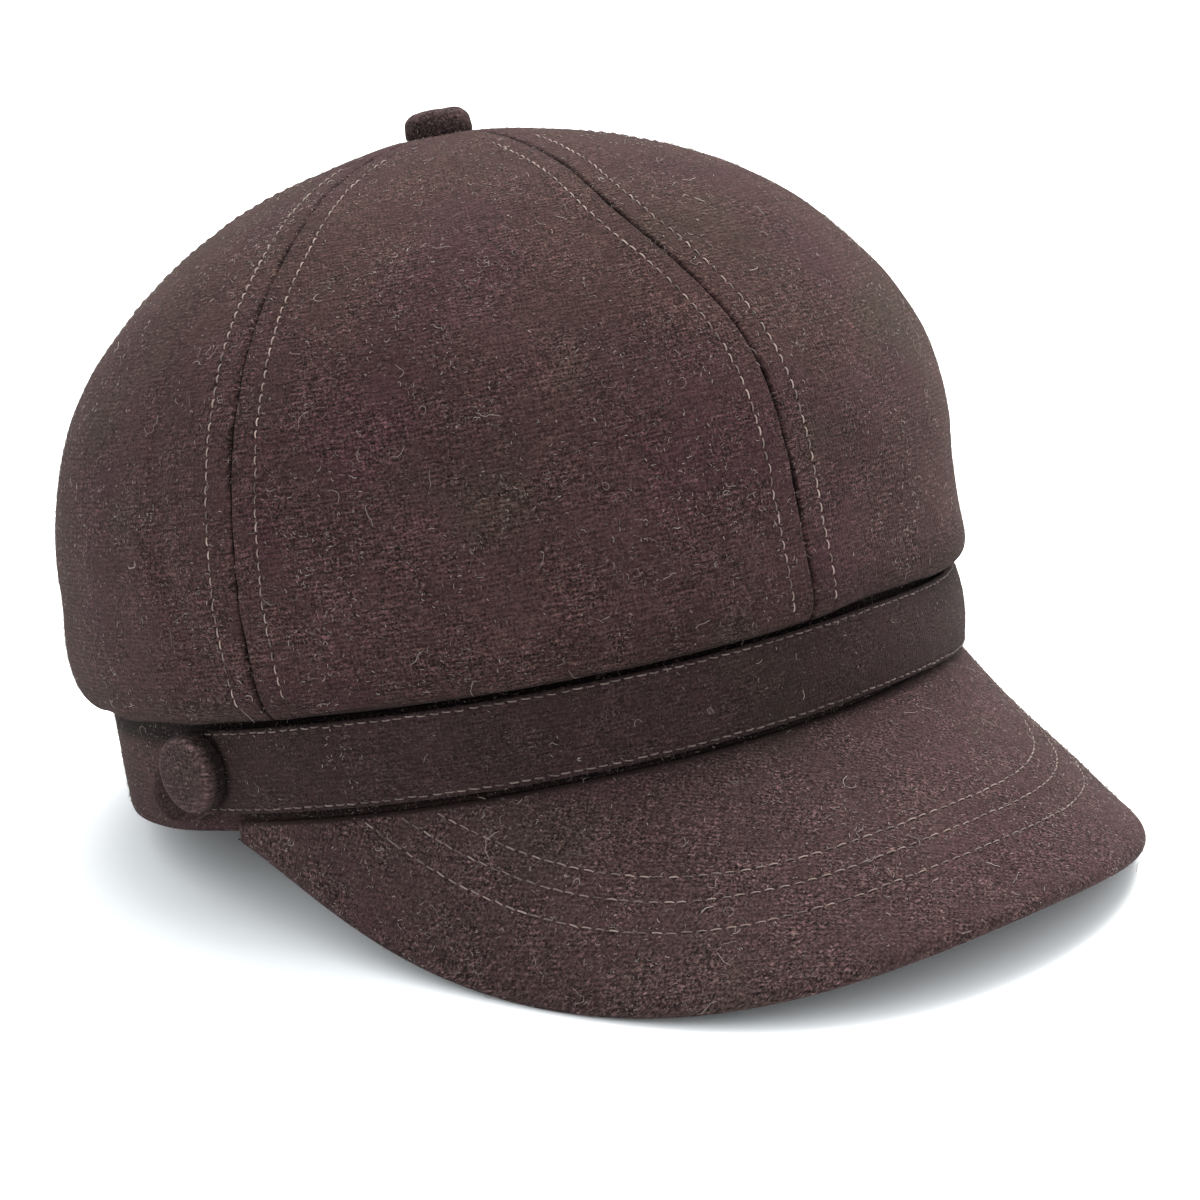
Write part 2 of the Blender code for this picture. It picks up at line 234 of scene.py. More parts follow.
def crown_shape(angle, s):
    """How far the crown is fuller, or flatter, than its plain round form."""
    fuller = 1.1 * MM * bell(angle, -1.9, 0.5) * bell(s, 1.45, 0.42)
    fuller += 1.5 * MM * bell(angle, 0.95, 0.40) * bell(s, 0.86, 0.22)
    return fuller - 2.3 * MM * bell(angle, 1.00, 0.35) * bell(s, 1.45, 0.28)


def slump(angle):
    """How far the crown's fold and the strap hang lower on the wearer's left of the front."""
    return 2.2 * MM * smooth(0.10, 0.70, angle) * (1 - smooth(1.00, 1.45, angle))


def seam_relief(d, along):
    """The furrow of a seam, its welt and its stitched row, at a distance d from it."""
    seam = -0.52 * MM * bell(d, 0, 0.28 * MM)
    welt = 0.16 * MM * smooth(0.2 * MM, 0.9 * MM, d) * (1 - smooth(5.9 * MM, 8.5 * MM, d))
    row = -0.17 * MM * bell(d, CROWN_STITCH, 0.40 * MM)
    tug = 0.05 * MM * np.cos(2 * math.pi * along / STITCH_PITCH) * bell(d, CROWN_STITCH, 0.8 * MM)
    return seam + welt + row + tug


def gather_relief(angle, s, wobble):
    """Soft folds where the crown is gathered into the headband, deeper toward the back."""
    low = smooth(1.25, 2.0, s) * (1 - smooth(2.0, 2.6, s))
    deeper = 0.08 * MM + 0.25 * MM * smooth(1.0, 1.6, np.abs(angle + 0.1))
    return np.sin(27 * angle + 1.2 * wobble) * low * deeper


def slack_relief(angle, s, base, off_top):
    """The slack cloth's low waves, and one fold beside the right side seam."""
    slack = ripples(base, (0.30, 0.075, 1), (0.12, 0.032, 2), (0.03, 0.012, 3))
    slack *= (1 - 0.5 * smooth(1.8, 2.0, s)) * off_top
    fold = -1.1 * MM * bell(angle + 0.05 * np.sin(3 * s), -1.315, 0.035) * bell(s, 1.15, 0.40)
    return slack + (fold + 0.5 * MM * bell(angle, -1.40, 0.05) * bell(s, 1.15, 0.40))


def crown_relief(angle, s, base):
    """How far the sewn cloth stands off the crown's smooth shape."""
    turned = to_seams(angle, s)
    nearest = np.abs(turned).argmin(-1)
    turned = np.take_along_axis(turned, nearest[..., None], -1)[..., 0]
    d = np.abs(turned) * from_axis(base)
    along = np.interp(s, ARC_S, ARC)
    off_top = smooth(0.006, 0.015, from_axis(base))
    wobble = np.clip(ripple(base, 0.035, 5), -1.5, 1.5)
    phase = nearest * 2.1 + np.sign(turned)
    pucker = np.sin(2 * math.pi * along / PUCKER_PITCH + phase + 2.0 * wobble) * np.exp(-d / 0.008)
    pucker *= 0.09 * MM * (0.6 + 0.4 * wobble)
    slack = slack_relief(angle, s, base, off_top)
    loose = pucker + gather_relief(angle, s, wobble) + slack + crown_shape(angle, s)
    sewn = seam_relief(d, along) * off_top * (1 - smooth(2.1, 2.5, s))
    return sewn + loose * (1 - smooth(2.2, 2.6, s))


def crown_cloth(angle, s):
    """Points and normals of the crown's cloth, with its seams, stitched rows and slack."""
    angle, s = paired(angle, s)
    base, normal = crown_base(angle, s), outward(crown_base, angle, s)
    sag = slump(angle) * smooth(1.15, 1.85, s) * (1 - smooth(2.15, 2.6, s))
    return base + normal * crown_relief(angle, s, base)[..., None] - UP * sag[..., None], normal


def past_end(angle):
    """How far a point lies past the middle of the strap's rounded end."""
    return (np.abs(angle) - BUTTON_ANGLE) * STRAP_R - STRAP_END_PAST


def strap_edge(angle, z):
    """Distance in from the strap's outline, z being the height above its middle line."""
    return STRAP_HALF - np.hypot(np.maximum(past_end(angle), 0), z)


def strap_row(z):
    """How far in from the outline the strap's stitched row runs: nearer the edge along the top."""
    return (1.05 - 0.35 * smooth(-5.0, 5.0, z / MM)) * MM


def strap_droop(angle):
    """How far the strap's ends hang below its middle line."""
    turn = np.degrees(np.abs(angle))
    return (0.3 * smooth(60, 76, turn) + 4.4 * smooth(79.5, 88, turn)) * MM + 0.9 * slump(angle)


def strap_drop(angle, z):
    """How far a point of the strap hangs down: its lower edge hangs further on the wearer's left."""
    flare = STRAP_FLARE * smooth(0.35, 0.90, angle) * (1 - smooth(1.05, 1.45, angle))
    return strap_droop(angle) + flare * (1 - z / STRAP_HALF) / 2


def strap_curl(angle):
    """How far the strap's ends stand off the headband, past the buttons."""
    return 3.2 * MM * smooth(math.radians(82), math.radians(88), np.abs(angle))


def strap_painted_shading(angle, z):
    """Painted shade on the strap round its buttons, on its part to the wearer's left of the front and along
    its edges between the buttons, and a painted highlight along the edges of its ends.
    """
    turned = np.abs(angle) - BUTTON_ANGLE
    from_button = np.hypot(turned * STRAP_R, z + STRAP_MID - strap_droop(angle) - BUTTON_Z)
    edge = np.clip(strap_edge(angle, z), 0, None)
    shade = 1.1 * smooth(1.6 * MM, 0.0, from_button - SIDE_BUTTON_R)
    # Painted highlight along the edges of the strap's ends, past the buttons.
    painted_edge_highlight = smooth(1.5 * MM, 0.1 * MM, edge) * smooth(-0.01, 0.03, turned)
    shade += 0.22 * smooth(0.3, 0.8, angle) * (1 - smooth(1.15, 1.35, angle))
    return shade + 0.35 * smooth(0.7 * MM, 0, edge) * smooth(0.02, -0.02, turned) - 0.45 * painted_edge_highlight


def strap_cloth(angle, z, turn=0.60 * MM):
    """The strap's outer face, rolled over at its outline and drawn in along its stitched row."""
    edge = np.clip(strap_edge(angle, z), 0, None)
    share = z / STRAP_HALF
    out = STRAP_R + STRAP_BULGE * (1 - share**2)
    rolled = turn - np.sqrt(np.maximum(turn**2 - np.maximum(turn - edge, 0) ** 2, 0))
    base = placed(angle, out, STRAP_MID + z - strap_drop(angle, z))
    lift = ripples(base, (0.07, 0.022, 21)) * smooth(0, 2 * MM, edge)
    lift += ripples(base, (0.03, 0.007, 22)) * smooth(0, 1.5 * MM, edge)
    lift -= 0.16 * MM * bell(edge, strap_row(z), 0.30 * MM)
    lift += strap_curl(angle)
    return base + radial(angle) * (lift - rolled)[..., None]


def visor_length(angle):
    share = np.abs(angle) / VISOR_HALF
    return VISOR_L * (1 - np.minimum(share, 1) ** VISOR_ROUND) ** VISOR_TAPER - VISOR_RIM


def visor_thinned(angle):
    """How much of its thickness the visor keeps toward its two corners."""
    return 1 - 0.5 * smooth(0.68, 0.94, np.abs(angle) / VISOR_HALF)


def visor_base(angle, s):
    """The visor's top face: s is 0 at the headband, 1 at the rim, and 1 plus the angle rolled round it."""
    angle, s = paired(angle, s)
    share = np.abs(angle) / VISOR_HALF
    droop = (VISOR_DROOP + VISOR_DROOP_SIDE * share**2)[..., None]
    rise = VISOR_RISE * (1 - VISOR_RISE_FALL * share**2) * (1 - np.clip(s, 0, 1))
    rise = (rise * (1 - VISOR_SLUMP * smooth(0.35, 0.95, angle)))[..., None]
    root = radial(angle) * VISOR_ROOT_R + UP * (VISOR_ROOT_Z + rise)
    tucked = np.clip(-s, 0, 1)[..., None] * VISOR_TUCK
    away = radial(angle * VISOR_SPREAD)
    along = away * np.cos(droop) - UP * np.sin(droop)
    below = -away * np.sin(droop) - UP * np.cos(droop)
    turn = np.clip(s - 1, 0, None)[..., None]
    face = along * (np.clip(s, 0, 1) * visor_length(angle))[..., None]
    rim = along * np.sin(turn) + below * (1 - np.cos(turn))
    rim = rim * VISOR_RIM * visor_thinned(angle)[..., None]
    return root - radial(angle) * tucked + UP * tucked * np.tan(np.minimum(droop, 0.6)) + face + rim


def visor_row(angle, depth, half):
    """Distance from the headband of one of the visor's stitched rows."""
    share = np.minimum(np.abs(angle) / math.radians(half), 1)
    return depth * (1 - share**3.6) ** 1.15


def visor_cloth(angle, s):
    """Points and normals of the visor's top cloth."""
    angle, s = paired(angle, s)
    base, normal = visor_base(angle, s), outward(visor_base, angle, s)
    away = s * visor_length(angle)
    lift = ripples(base, (0.09, 0.035, 31), (0.03, 0.011, 32))
    for depth, half in VISOR_ROWS:
        inside = smooth(half, half - 2, np.degrees(np.abs(angle)))
        gap = away - visor_row(angle, depth, half)
        lift -= 0.15 * MM * bell(gap, 0, 0.45 * MM) * inside
        lift += 0.05 * MM * (bell(gap, 1.7 * MM, 1.0 * MM) + bell(gap, -1.7 * MM, 1.0 * MM)) * inside
    lift *= smooth(-0.2, 0.05, s) * (1 - smooth(1.0, 1.5, s))
    return base + normal * lift[..., None], normal


# Meshes


def mesh_of(name, points, faces, uv=None, shade=None):
    """A smooth mesh in the row frame. faces is a list of arrays, a row of corners a face; uv is by corner."""
    mesh = bpy.data.meshes.new(name)
    mesh.vertices.add(len(points))
    mesh.vertices.foreach_set("co", leaned(points).astype(np.float32).ravel())
    corners = np.concatenate([f.ravel() for f in faces]).astype(np.int32)
    sizes = np.concatenate([np.full(len(f), f.shape[1]) for f in faces])
    mesh.loops.add(len(corners))
    mesh.loops.foreach_set("vertex_index", corners)
    mesh.polygons.add(len(sizes))
    mesh.polygons.foreach_set("loop_start", (np.cumsum(sizes) - sizes).astype(np.int32))
    mesh.polygons.foreach_set("use_smooth", np.ones(len(sizes), bool))
    if uv is not None:
        mesh.uv_layers.new(name="cloth").data.foreach_set("uv", uv.astype(np.float32).ravel())
    if shade is not None:
        mesh.attributes.new("shade", "FLOAT", "POINT").data.foreach_set("value", shade.astype(np.float32))
    mesh.update(calc_edges=True)
    return mesh


def grid_mesh(name, points, uv, closed=False, painted_shading=None):
    """A grid of rows and columns, with optional per-point values that paint shade on it where above zero and
    a highlight where below zero.

    A closed one joins its last column to its first, and its uv has one column more.
    """
    rows, columns = points.shape[:2]
    r, c = np.meshgrid(np.arange(rows - 1), np.arange(columns if closed else columns - 1), indexing="ij")
    corners = [(r, c), (r + 1, c), (r + 1, c + 1), (r, c + 1)]
    faces = np.stack([i * columns + j % columns for i, j in corners], -1).reshape(-1, 4)
    placed = np.stack([uv[i, j] for i, j in corners], -2).reshape(-1, 2)
    mesh = mesh_of(name, points.reshape(-1, 3), [faces], placed)
    if painted_shading is not None:
        value = np.ascontiguousarray(painted_shading, np.float32).ravel()
        mesh.attributes.new("painted_shading", "FLOAT", "POINT").data.foreach_set("value", value)
    return mesh


def above_floor(points):
    """Points moved up, where the cap rests on them, to lie on the floor."""
    sunk = np.minimum(leaned(points)[..., 2] - 0.02 * MM, 0)
    return points - UP * sunk[..., None] / math.cos(LEAN)


def tube_mesh(name, lines, normals, width, height, shade, sides):
    """Closed tubes along lines of points: (tubes, stations, 3), with the size of each station's section."""
    tubes, stations = lines.shape[:2]
    along = unit(np.gradient(lines, axis=1))
    across = unit(np.cross(along, normals))
    proud = np.cross(across, along)
    turn = np.arange(sides) * 2 * math.pi / sides
    ring = (
        across[:, :, None] * (np.cos(turn) * width[..., None])[..., None]
        + proud[:, :, None] * (np.sin(turn) * height[..., None])[..., None]
    )
    points = above_floor(lines[:, :, None] + ring)
    base = (np.arange(tubes) * stations * sides)[:, None, None]
    i, j = np.meshgrid(np.arange(stations - 1), np.arange(sides), indexing="ij")
    nxt = (j + 1) % sides
    corners = [i * sides + j, i * sides + nxt, (i + 1) * sides + nxt, (i + 1) * sides + j]
    walls = np.stack([base + c for c in corners], -1).reshape(-1, 4)
    first = (base[:, 0] + np.arange(sides)[::-1]).reshape(-1, sides)
    last = (base[:, 0] + (stations - 1) * sides + np.arange(sides)).reshape(-1, sides)
    shades = np.repeat(shade, stations * sides)
    return mesh_of(name, points.reshape(-1, 3), [walls, first, last], shade=shades)


def add_piece(mesh, body, slot, material, *replaced):
    piece = bpy.data.objects.new(mesh.name, mesh)
    bpy.context.scene.collection.objects.link(piece)
    mesh.materials.append(material)
    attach(piece, body)
    if replaced:
        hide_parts(*replaced)
    return piece


def thicken(piece, thickness):
    layer = piece.modifiers.new("layer", "SOLIDIFY")
    layer.thickness = thickness
    layer.offset = -1.0


def add_sheet(name, points, uv, finish, thickness, painted_shading=None):
    """A sheet of cloth drawn on a grid of points. finish is its body, slot, material and CAD node; the slot
    is not used.
    """
    piece = add_piece(grid_mesh(name, points, uv, painted_shading=painted_shading), *finish)
    thicken(piece, thickness)


# Materials


class Finish:
    """A material being built: the shader, and the procedural nodes that feed it."""

    def __init__(self, name, **shader):
        self.material = bpy.data.materials.new(name)
        self.material.use_nodes = True
        self.tree = self.material.node_tree
        self.shader = self.tree.nodes["Principled BSDF"]
        for socket, value in shader.items():
            self.shader.inputs[socket.replace("_", " ")].default_value = value

    def node(self, kind, inputs, output=0, **settings):
        made = self.tree.nodes.new("ShaderNode" + kind)
        for key, value in settings.items():
            setattr(made, key, value)
        for key, value in inputs.items():
            if isinstance(value, bpy.types.NodeSocket):
                self.tree.links.new(value, made.inputs[key])
            else:
                made.inputs[key].default_value = value
        return made.outputs[output]

    def calc(self, operation, a, b=0.0):
        return self.node("Math", {0: a, 1: b}, operation=operation)

    def times(self, a, b):
        return self.calc("MULTIPLY", a, b)

    def plus(self, a, b):
        return self.calc("ADD", a, b)

    def total(self, first, *shares):
        for value, share in shares:
            first = self.plus(first, self.times(value, share))
        return first

    def wave(self, value, pitch, operation="SINE"):
        return self.calc(operation, self.times(value, 2 * math.pi / pitch))

    def vector(self, operation, a, b):
        key = "Scale" if operation == "SCALE" else 1
        return self.node("VectorMath", {0: a, key: b}, operation=operation)

    def noise(self, at, size, detail=2.0, roughness=0.5, distortion=0.0, output=0):
        inputs = {"Vector": at, "Scale": 1 / size, "Detail": detail}
        inputs |= {"Roughness": roughness, "Distortion": distortion}
        return self.node("TexNoise", inputs, output)

    def centred(self, at, size, detail=2.0, roughness=0.6, shift=0.0):
        """Noise about zero, taken from another place where there is a shift."""
        moved = self.vector("ADD", at, (shift, shift, shift)) if shift else at
        return self.calc("SUBTRACT", self.noise(moved, size, detail, roughness), 0.5)

    def drawn(self, at, x, y, size, shift):
        """Centred noise whose grains are longer, or shorter, along the cloth's two ways."""
        return self.centred(self.vector("MULTIPLY", at, (x, y, 1.0)), size, 1.0, shift=shift)

    def band(self, value, low, high, from_value=0.0, to_value=1.0):
        inputs = {"Value": value, "From Min": low, "From Max": high}
        inputs |= {"To Min": from_value, "To Max": to_value}
        return self.node("MapRange", inputs, interpolation_type="SMOOTHSTEP")

    def mix(self, share, a, b, blend="MIX"):
        def colour(value):
            return (*value, 1.0) if isinstance(value, tuple) else value

        inputs = {0: share, 6: colour(a), 7: colour(b)}
        return self.node("Mix", inputs, 2, data_type="RGBA", blend_type=blend)

    def scaled(self, colour, by):
        return self.node("VectorMath", {0: colour, "Scale": by}, operation="SCALE")

    def cloth_mm(self):
        """Where a point is on the flat cloth, in millimetres."""
        return self.vector("SCALE", self.node("UVMap", {}, uv_map="cloth"), 1000.0)

    def place_mm(self):
        """Where a point is in space, in millimetres."""
        return self.vector("SCALE", self.node("TexCoord", {}, 3), 1000.0)

    def link(self, socket, value):
        self.tree.links.new(value, self.shader.inputs[socket])

    def bump(self, height, distance, strength=1.0):
        self.link("Normal", self.node("Bump", {"Height": height, "Distance": distance, "Strength": strength}))


PALE = (0.145, 0.112, 0.102)
PIT = (0.0025, 0.0016, 0.0019)
WEFT_PITCH, WARP_PITCH = 0.98, 0.84  # millimetres


def melange(f, place, brown, red, olive):
    """The wool's three dyed colours, in soft patches."""
    reddish = f.band(f.noise(place, 46.0, 2.0), 0.46, 0.66)
    elsewhere = f.vector("ADD", place, (70.0, 0.0, 30.0))
    greenish = f.band(f.noise(elsewhere, 36.0, 2.0), 0.53, 0.72)
    return f.mix(greenish, f.mix(reddish, brown, red), olive)


def flecked(f, yarn, streak):
    """Pale slubs along the weft and the warp, and pale specks."""
    dash = f.band(f.drawn(yarn, 1 - 0.55 * streak, 1 + 0.7 * streak, 0.60, 21.0), 0.13, 0.21)
    bar = f.band(f.drawn(yarn, 1 + 0.7 * streak, 1 - 0.5 * streak, 0.60, 27.0), 0.15, 0.23)
    fleck = f.band(f.centred(yarn, 0.55, 1.0, shift=50.0), 0.15, 0.22)
    return f.calc("MAXIMUM", f.calc("MAXIMUM", f.times(dash, 0.8), f.times(bar, 0.5)), fleck)


def wool(name, brown, red, olive, contrast=1.0, rows=1.0, flecks=1.0, grain_turn=0.0, streak=1.0):
    """Brushed wool: melange yarns crossing in a fine plain weave, brushed patches, slubs, pits and flecks,
    with painted shade and highlight from a per-point attribute.
    """
    sheen = {"Sheen_Weight": 0.03, "Sheen_Roughness": 0.5, "Sheen_Tint": (0.90, 0.72, 0.66, 1.0)}
    f = Finish(name, Specular_IOR_Level=0.05, **sheen)
    flat, place = f.cloth_mm(), f.place_mm()
    if grain_turn:
        flat = f.node("Mapping", {"Vector": flat, "Rotation": (0.0, 0.0, grain_turn)})
    wander = f.vector("SUBTRACT", f.noise(flat, 3.0, 3.0, 0.6, output=1), (0.5, 0.5, 0.5))
    yarn = f.vector("ADD", flat, f.vector("SCALE", wander, 1.0))
    axes = f.node("SeparateXYZ", {0: yarn})
    weft = f.wave(axes.node.outputs[1], WEFT_PITCH, "COSINE")
    warp = f.wave(axes.node.outputs[0], WARP_PITCH, "COSINE")
    hole = f.band(f.times(f.plus(weft, 1.0), f.plus(warp, 1.0)), 1.2, 3.4)
    over = f.drawn(yarn, 1 - 0.60 * streak, 1 + 0.25 * streak, 0.55, 9.0)
    under = f.drawn(yarn, 1 + 0.25 * streak, 1 - 0.50 * streak, 0.55, 4.0)
    speck = f.centred(yarn, 0.48, 2.0, 0.75)
    cloud = f.centred(yarn, 2.4, 3.0, 0.6)
    mottle = f.centred(place, 16.0, 4.0, 0.55)

    brushed = f.band(f.noise(place, 11.0, 5.0, 0.62), 0.40, 0.62)
    crisp = f.calc("SUBTRACT", 1.15, f.times(brushed, 0.62))
    weave = ((over, 2.6), (under, 1.6), (hole, -0.42 * rows), (weft, -0.10 * rows))
    tone = f.times(f.times(f.total(f.times(speck, 2.6), *weave), crisp), contrast)
    # Painted shading: the per-point attribute darkens the cloth as painted shade where above zero and
    # lightens it as a painted highlight where below zero.
    painted_shading = f.node("Attribute", {}, 2, attribute_name="painted_shading")
    tone = f.total(tone, (cloud, 0.55), (mottle, 0.65), (painted_shading, -1.1))
    colour = f.scaled(melange(f, place, brown, red, olive), f.calc("POWER", math.e, tone))

    clump = f.times(f.band(f.noise(place, 6.0, 4.0, 0.6), 0.36, 0.62, 0.25), crisp)
    pale = f.times(flecked(f, yarn, streak), clump)
    pit = f.times(f.band(f.drawn(yarn, 1.0, 1.3, 0.60, 31.0), -0.12, -0.19), clump)
    colour = f.mix(f.times(pale, 0.62 * flecks), colour, PALE)
    f.link("Base Color", f.mix(f.times(pit, 0.9), colour, PIT))
    f.link("Roughness", f.band(speck, -0.3, 0.3, 0.98, 0.86))
    shares = ((over, 0.9), (under, 0.7), (cloud, 0.5), (hole, -0.35 * rows), (pit, -0.9), (pale, 0.8))
    f.bump(f.total(f.times(speck, 1.0), *shares), 0.28 * MM, 0.9)
    return f.material


def spun(name, dark, pale, roughness=0.75):
    """Sewing thread or lint whose tone changes from piece to piece."""
    f = Finish(name, Sheen_Weight=0.15, Roughness=roughness, Specular_IOR_Level=0.25)
    tone = f.node("Attribute", {}, 2, attribute_name="shade")
    fine = f.noise(f.place_mm(), 0.5, 2.0)
    f.link("Base Color", f.mix(f.plus(tone, f.times(f.calc("SUBTRACT", fine, 0.5), 0.5)), dark, pale))
    f.bump(f.noise(f.place_mm(), 0.12, 2.0), 0.05 * MM, 0.6)
    return f.material


def satin(name, dark, pale):
    """Woven lining: a low sheen, fine ribs, and crush marks."""
    f = Finish(name, Sheen_Weight=0.1, Specular_IOR_Level=0.45)
    flat = f.cloth_mm()
    axes = f.node("SeparateXYZ", {0: flat})
    rib = f.wave(axes.node.outputs[0], 0.35)
    crush = f.noise(flat, 9.0, 5.0, 0.6, 0.8)
    f.link("Base Color", f.mix(f.band(crush, 0.3, 0.7), dark, pale))
    f.link("Roughness", f.band(f.noise(flat, 4.0, 3.0), 0.3, 0.7, 0.36, 0.52))
    f.bump(f.total(f.times(rib, 0.1), (crush, 1.6)), 0.5 * MM, 0.7)
    return f.material


def ribbed(name, dark, pale, pitch=0.9):
    """Grosgrain ribbon or woven elastic, ribbed from edge to edge."""
    f = Finish(name, Sheen_Weight=0.12, Specular_IOR_Level=0.3)
    flat = f.cloth_mm()
    axes = f.node("SeparateXYZ", {0: flat})
    rib = f.wave(axes.node.outputs[0], pitch)
    pick = f.wave(axes.node.outputs[1], 0.4)
    fine = f.noise(flat, 0.8, 4.0, 0.6)
    f.link("Base Color", f.mix(f.band(f.plus(f.times(rib, 0.2), fine), 0.25, 0.8), dark, pale))
    f.link("Roughness", f.band(fine, 0.3, 0.7, 0.55, 0.8))
    f.bump(f.plus(rib, f.plus(f.times(pick, 0.25), fine)), 0.12 * MM, 0.9)
    return f.material


def grained(name, dark, pale, size, depth, roughness, metallic=0.0):
    """A hard or pressed part: mottled colour, fine grain, scuffs."""
    f = Finish(name, Metallic=metallic)
    place = f.place_mm()
    cloud = f.noise(place, size * 6, 4.0, 0.6)
    fine = f.noise(place, size, 4.0, 0.65)
    f.link("Base Color", f.mix(f.band(f.plus(cloud, f.times(fine, 0.4)), 0.45, 0.95), dark, pale))
    f.link("Roughness", f.band(fine, 0.3, 0.7, roughness - 0.1, roughness + 0.1))
    f.bump(fine, depth, 0.7)
    return f.material


WOOLS = {
    "crown_wool": wool(
        "crown_wool_brushed",
        (0.0312, 0.0165, 0.0154),
        (0.0312, 0.0146, 0.0168),
        (0.0285, 0.0181, 0.0150),
        contrast=1.15,
        flecks=1.2,
    ),
    "visor_wool": wool(
        "visor_wool_brushed",
        (0.0330, 0.0189, 0.0190),
        (0.0337, 0.0177, 0.0192),
        (0.0318, 0.0202, 0.0182),
        contrast=1.35,
        rows=0.7,
        flecks=1.25,
        grain_turn=math.radians(40),
        streak=0.3,
    ),
    "strap_wool": wool(
        "strap_wool_brushed",
        (0.0216, 0.0119, 0.0125),
        (0.0217, 0.0116, 0.0127),
        (0.0205, 0.0126, 0.0119),
        contrast=0.75,
        flecks=0.7,
    ),
    "button_wool": wool(
        "button_wool_brushed",
        (0.0292, 0.0177, 0.0180),
        (0.0298, 0.0170, 0.0183),
        (0.0286, 0.0186, 0.0174),
        contrast=1.0,
    ),
}
THREAD = spun("sewing_thread", (0.036, 0.023, 0.020), (0.250, 0.190, 0.165))
LINT = spun("wool_lint", (0.068, 0.050, 0.043), (0.320, 0.270, 0.245), 0.85)
FUZZ = spun("wool_fuzz", (0.0236, 0.0136, 0.0124), (0.105, 0.069, 0.060), 0.9)
SATIN = satin("lining_satin_woven", (0.026, 0.017, 0.017), (0.042, 0.029, 0.028))
RIBBON = ribbed("ribbon_grosgrain", (0.016, 0.012, 0.012), (0.040, 0.030, 0.029))


# Loose fibres and stitches


def scattered(points, count, rng, clumps=0):
    """Random places on a grid of points, evenly by area or in clumps, with their normals and one tangent."""
    a, b, c = points[:-1, :-1], points[1:, :-1], points[:-1, 1:]
    normal = np.cross(b - a, c - a)
    area = np.linalg.norm(normal, axis=-1).ravel()
    middle = (0.5 * (b + c)).reshape(-1, 3)
    share = area / area.sum()
    if clumps:
        centres = middle[rng.choice(len(area), clumps, p=share)]
        size = rng.uniform(2.5, 9.0, clumps) * MM
        near = np.zeros(len(area))
        for centre, radius in zip(centres, size):
            near += np.exp(-(((middle - centre) ** 2).sum(-1)) / radius**2)
        share = area * (0.35 + 2.2 * near)
        share /= share.sum()
    cell = rng.choice(len(area), count, p=share)
    u, v = rng.random((2, count, 1))
    place = [x.reshape(-1, 3)[cell] for x in (a, b, c)]
    normal = unit(normal.reshape(-1, 3)[cell])
    side = unit(place[2] - place[0])
    return place[0] + u * (place[1] - place[0]) + v * (place[2] - place[0]), normal, side


def lint_lines(points, count, rng, median, spread_of, longest, curliness, stations, rise):
    """Curled lines lying on the cloth."""
    root, normal, side = scattered(points, count, rng, clumps=max(2, count // 40))
    other = np.cross(normal, side)
    length = np.minimum(median * np.exp(rng.normal(0, spread_of, count)), longest) * MM
    step = (length / (stations - 1))[:, None]
    curl = rng.normal(0, curliness, count)[:, None] / MM
    curl = curl + rng.normal(0, 0.8 * curliness, (count, stations)) / MM
    heading = rng.uniform(0, 2 * math.pi, count)[:, None] + np.cumsum(curl * step, axis=1)
    moves = np.cos(heading)[..., None] * side[:, None] + np.sin(heading)[..., None] * other[:, None]
    line = np.cumsum(moves * step[..., None], axis=1)
    wave = np.abs(np.sin(np.linspace(0, 2.4, stations) + rng.uniform(0, 3, (count, 1))))
    height = (0.08 + rise * wave) * MM
    line = root[:, None] + line + normal[:, None] * height[..., None]
    return line, np.repeat(normal[:, None], stations, 1)


def lint_on(points, name, body, slot, count, seed):
    """Pale curled fibres caught on the cloth: a few long ones and many short ones."""
    rng = np.random.default_rng(seed)
    stations = 8
    few = count // 22
    long_ones = lint_lines(points, few, rng, 2.8, 0.45, 7.5, 0.8, stations, 0.40)
    short_ones = lint_lines(points, count - few, rng, 0.62, 0.40, 1.8, 2.2, stations, 0.14)
    line, normal = (np.concatenate(pair) for pair in zip(long_ones, short_ones))
    width = np.repeat(rng.uniform(0.035, 0.070, (count, 1)) * MM, stations, axis=1)
    width[:, [0, -1]] *= 0.5
    shade = rng.beta(0.9, 1.6, count)
    add_piece(tube_mesh(name, line, normal, width, width, shade, 3), body, slot, LINT)


def fuzz_on(points, name, body, slot, count, seed, longest):
    """Short brushed fibres that stand off the cloth."""
    rng = np.random.default_rng(seed)
    root, normal, side = scattered(points, count, rng)
    other = np.cross(normal, side)
    turn = rng.uniform(0, 2 * math.pi, count)[:, None]
    flat = np.cos(turn) * side + np.sin(turn) * other
    stand = rng.uniform(0.10, 0.90, count)[:, None]
    way = normal * stand + flat * np.sqrt(1 - stand**2)
    bend = np.cross(way, flat) + 0.5 * flat
    length = (np.minimum(rng.lognormal(-0.70, 0.45, count), longest) * MM)[:, None]
    share = np.linspace(0, 1, 4)[None, :, None]
    line = root[:, None] - normal[:, None] * 0.05 * MM
    line = line + way[:, None] * (length[:, None] * share)
    line = line + bend[:, None] * (rng.uniform(-0.5, 0.5, (count, 1, 1)) * length[:, None] * share**2)
    width = rng.uniform(0.018, 0.030, (count, 1)) * MM * np.linspace(1, 0.45, 4)[None]
    mesh = tube_mesh(name, line, np.repeat(flat[:, None], 4, 1), width, width, rng.random(count) ** 1.5, 3)
    add_piece(mesh, body, slot, FUZZ)


def fibres_on(points, pattern, body, slot, lint, fuzz, seed, longest=1.2):
    """Lint and fuzz on one cloth, as two pieces named after the pattern."""
    lint_on(points, pattern.format("lint"), body, slot, lint, seed)
    fuzz_on(points, pattern.format("fuzz"), body, slot, fuzz, seed + 100, longest)


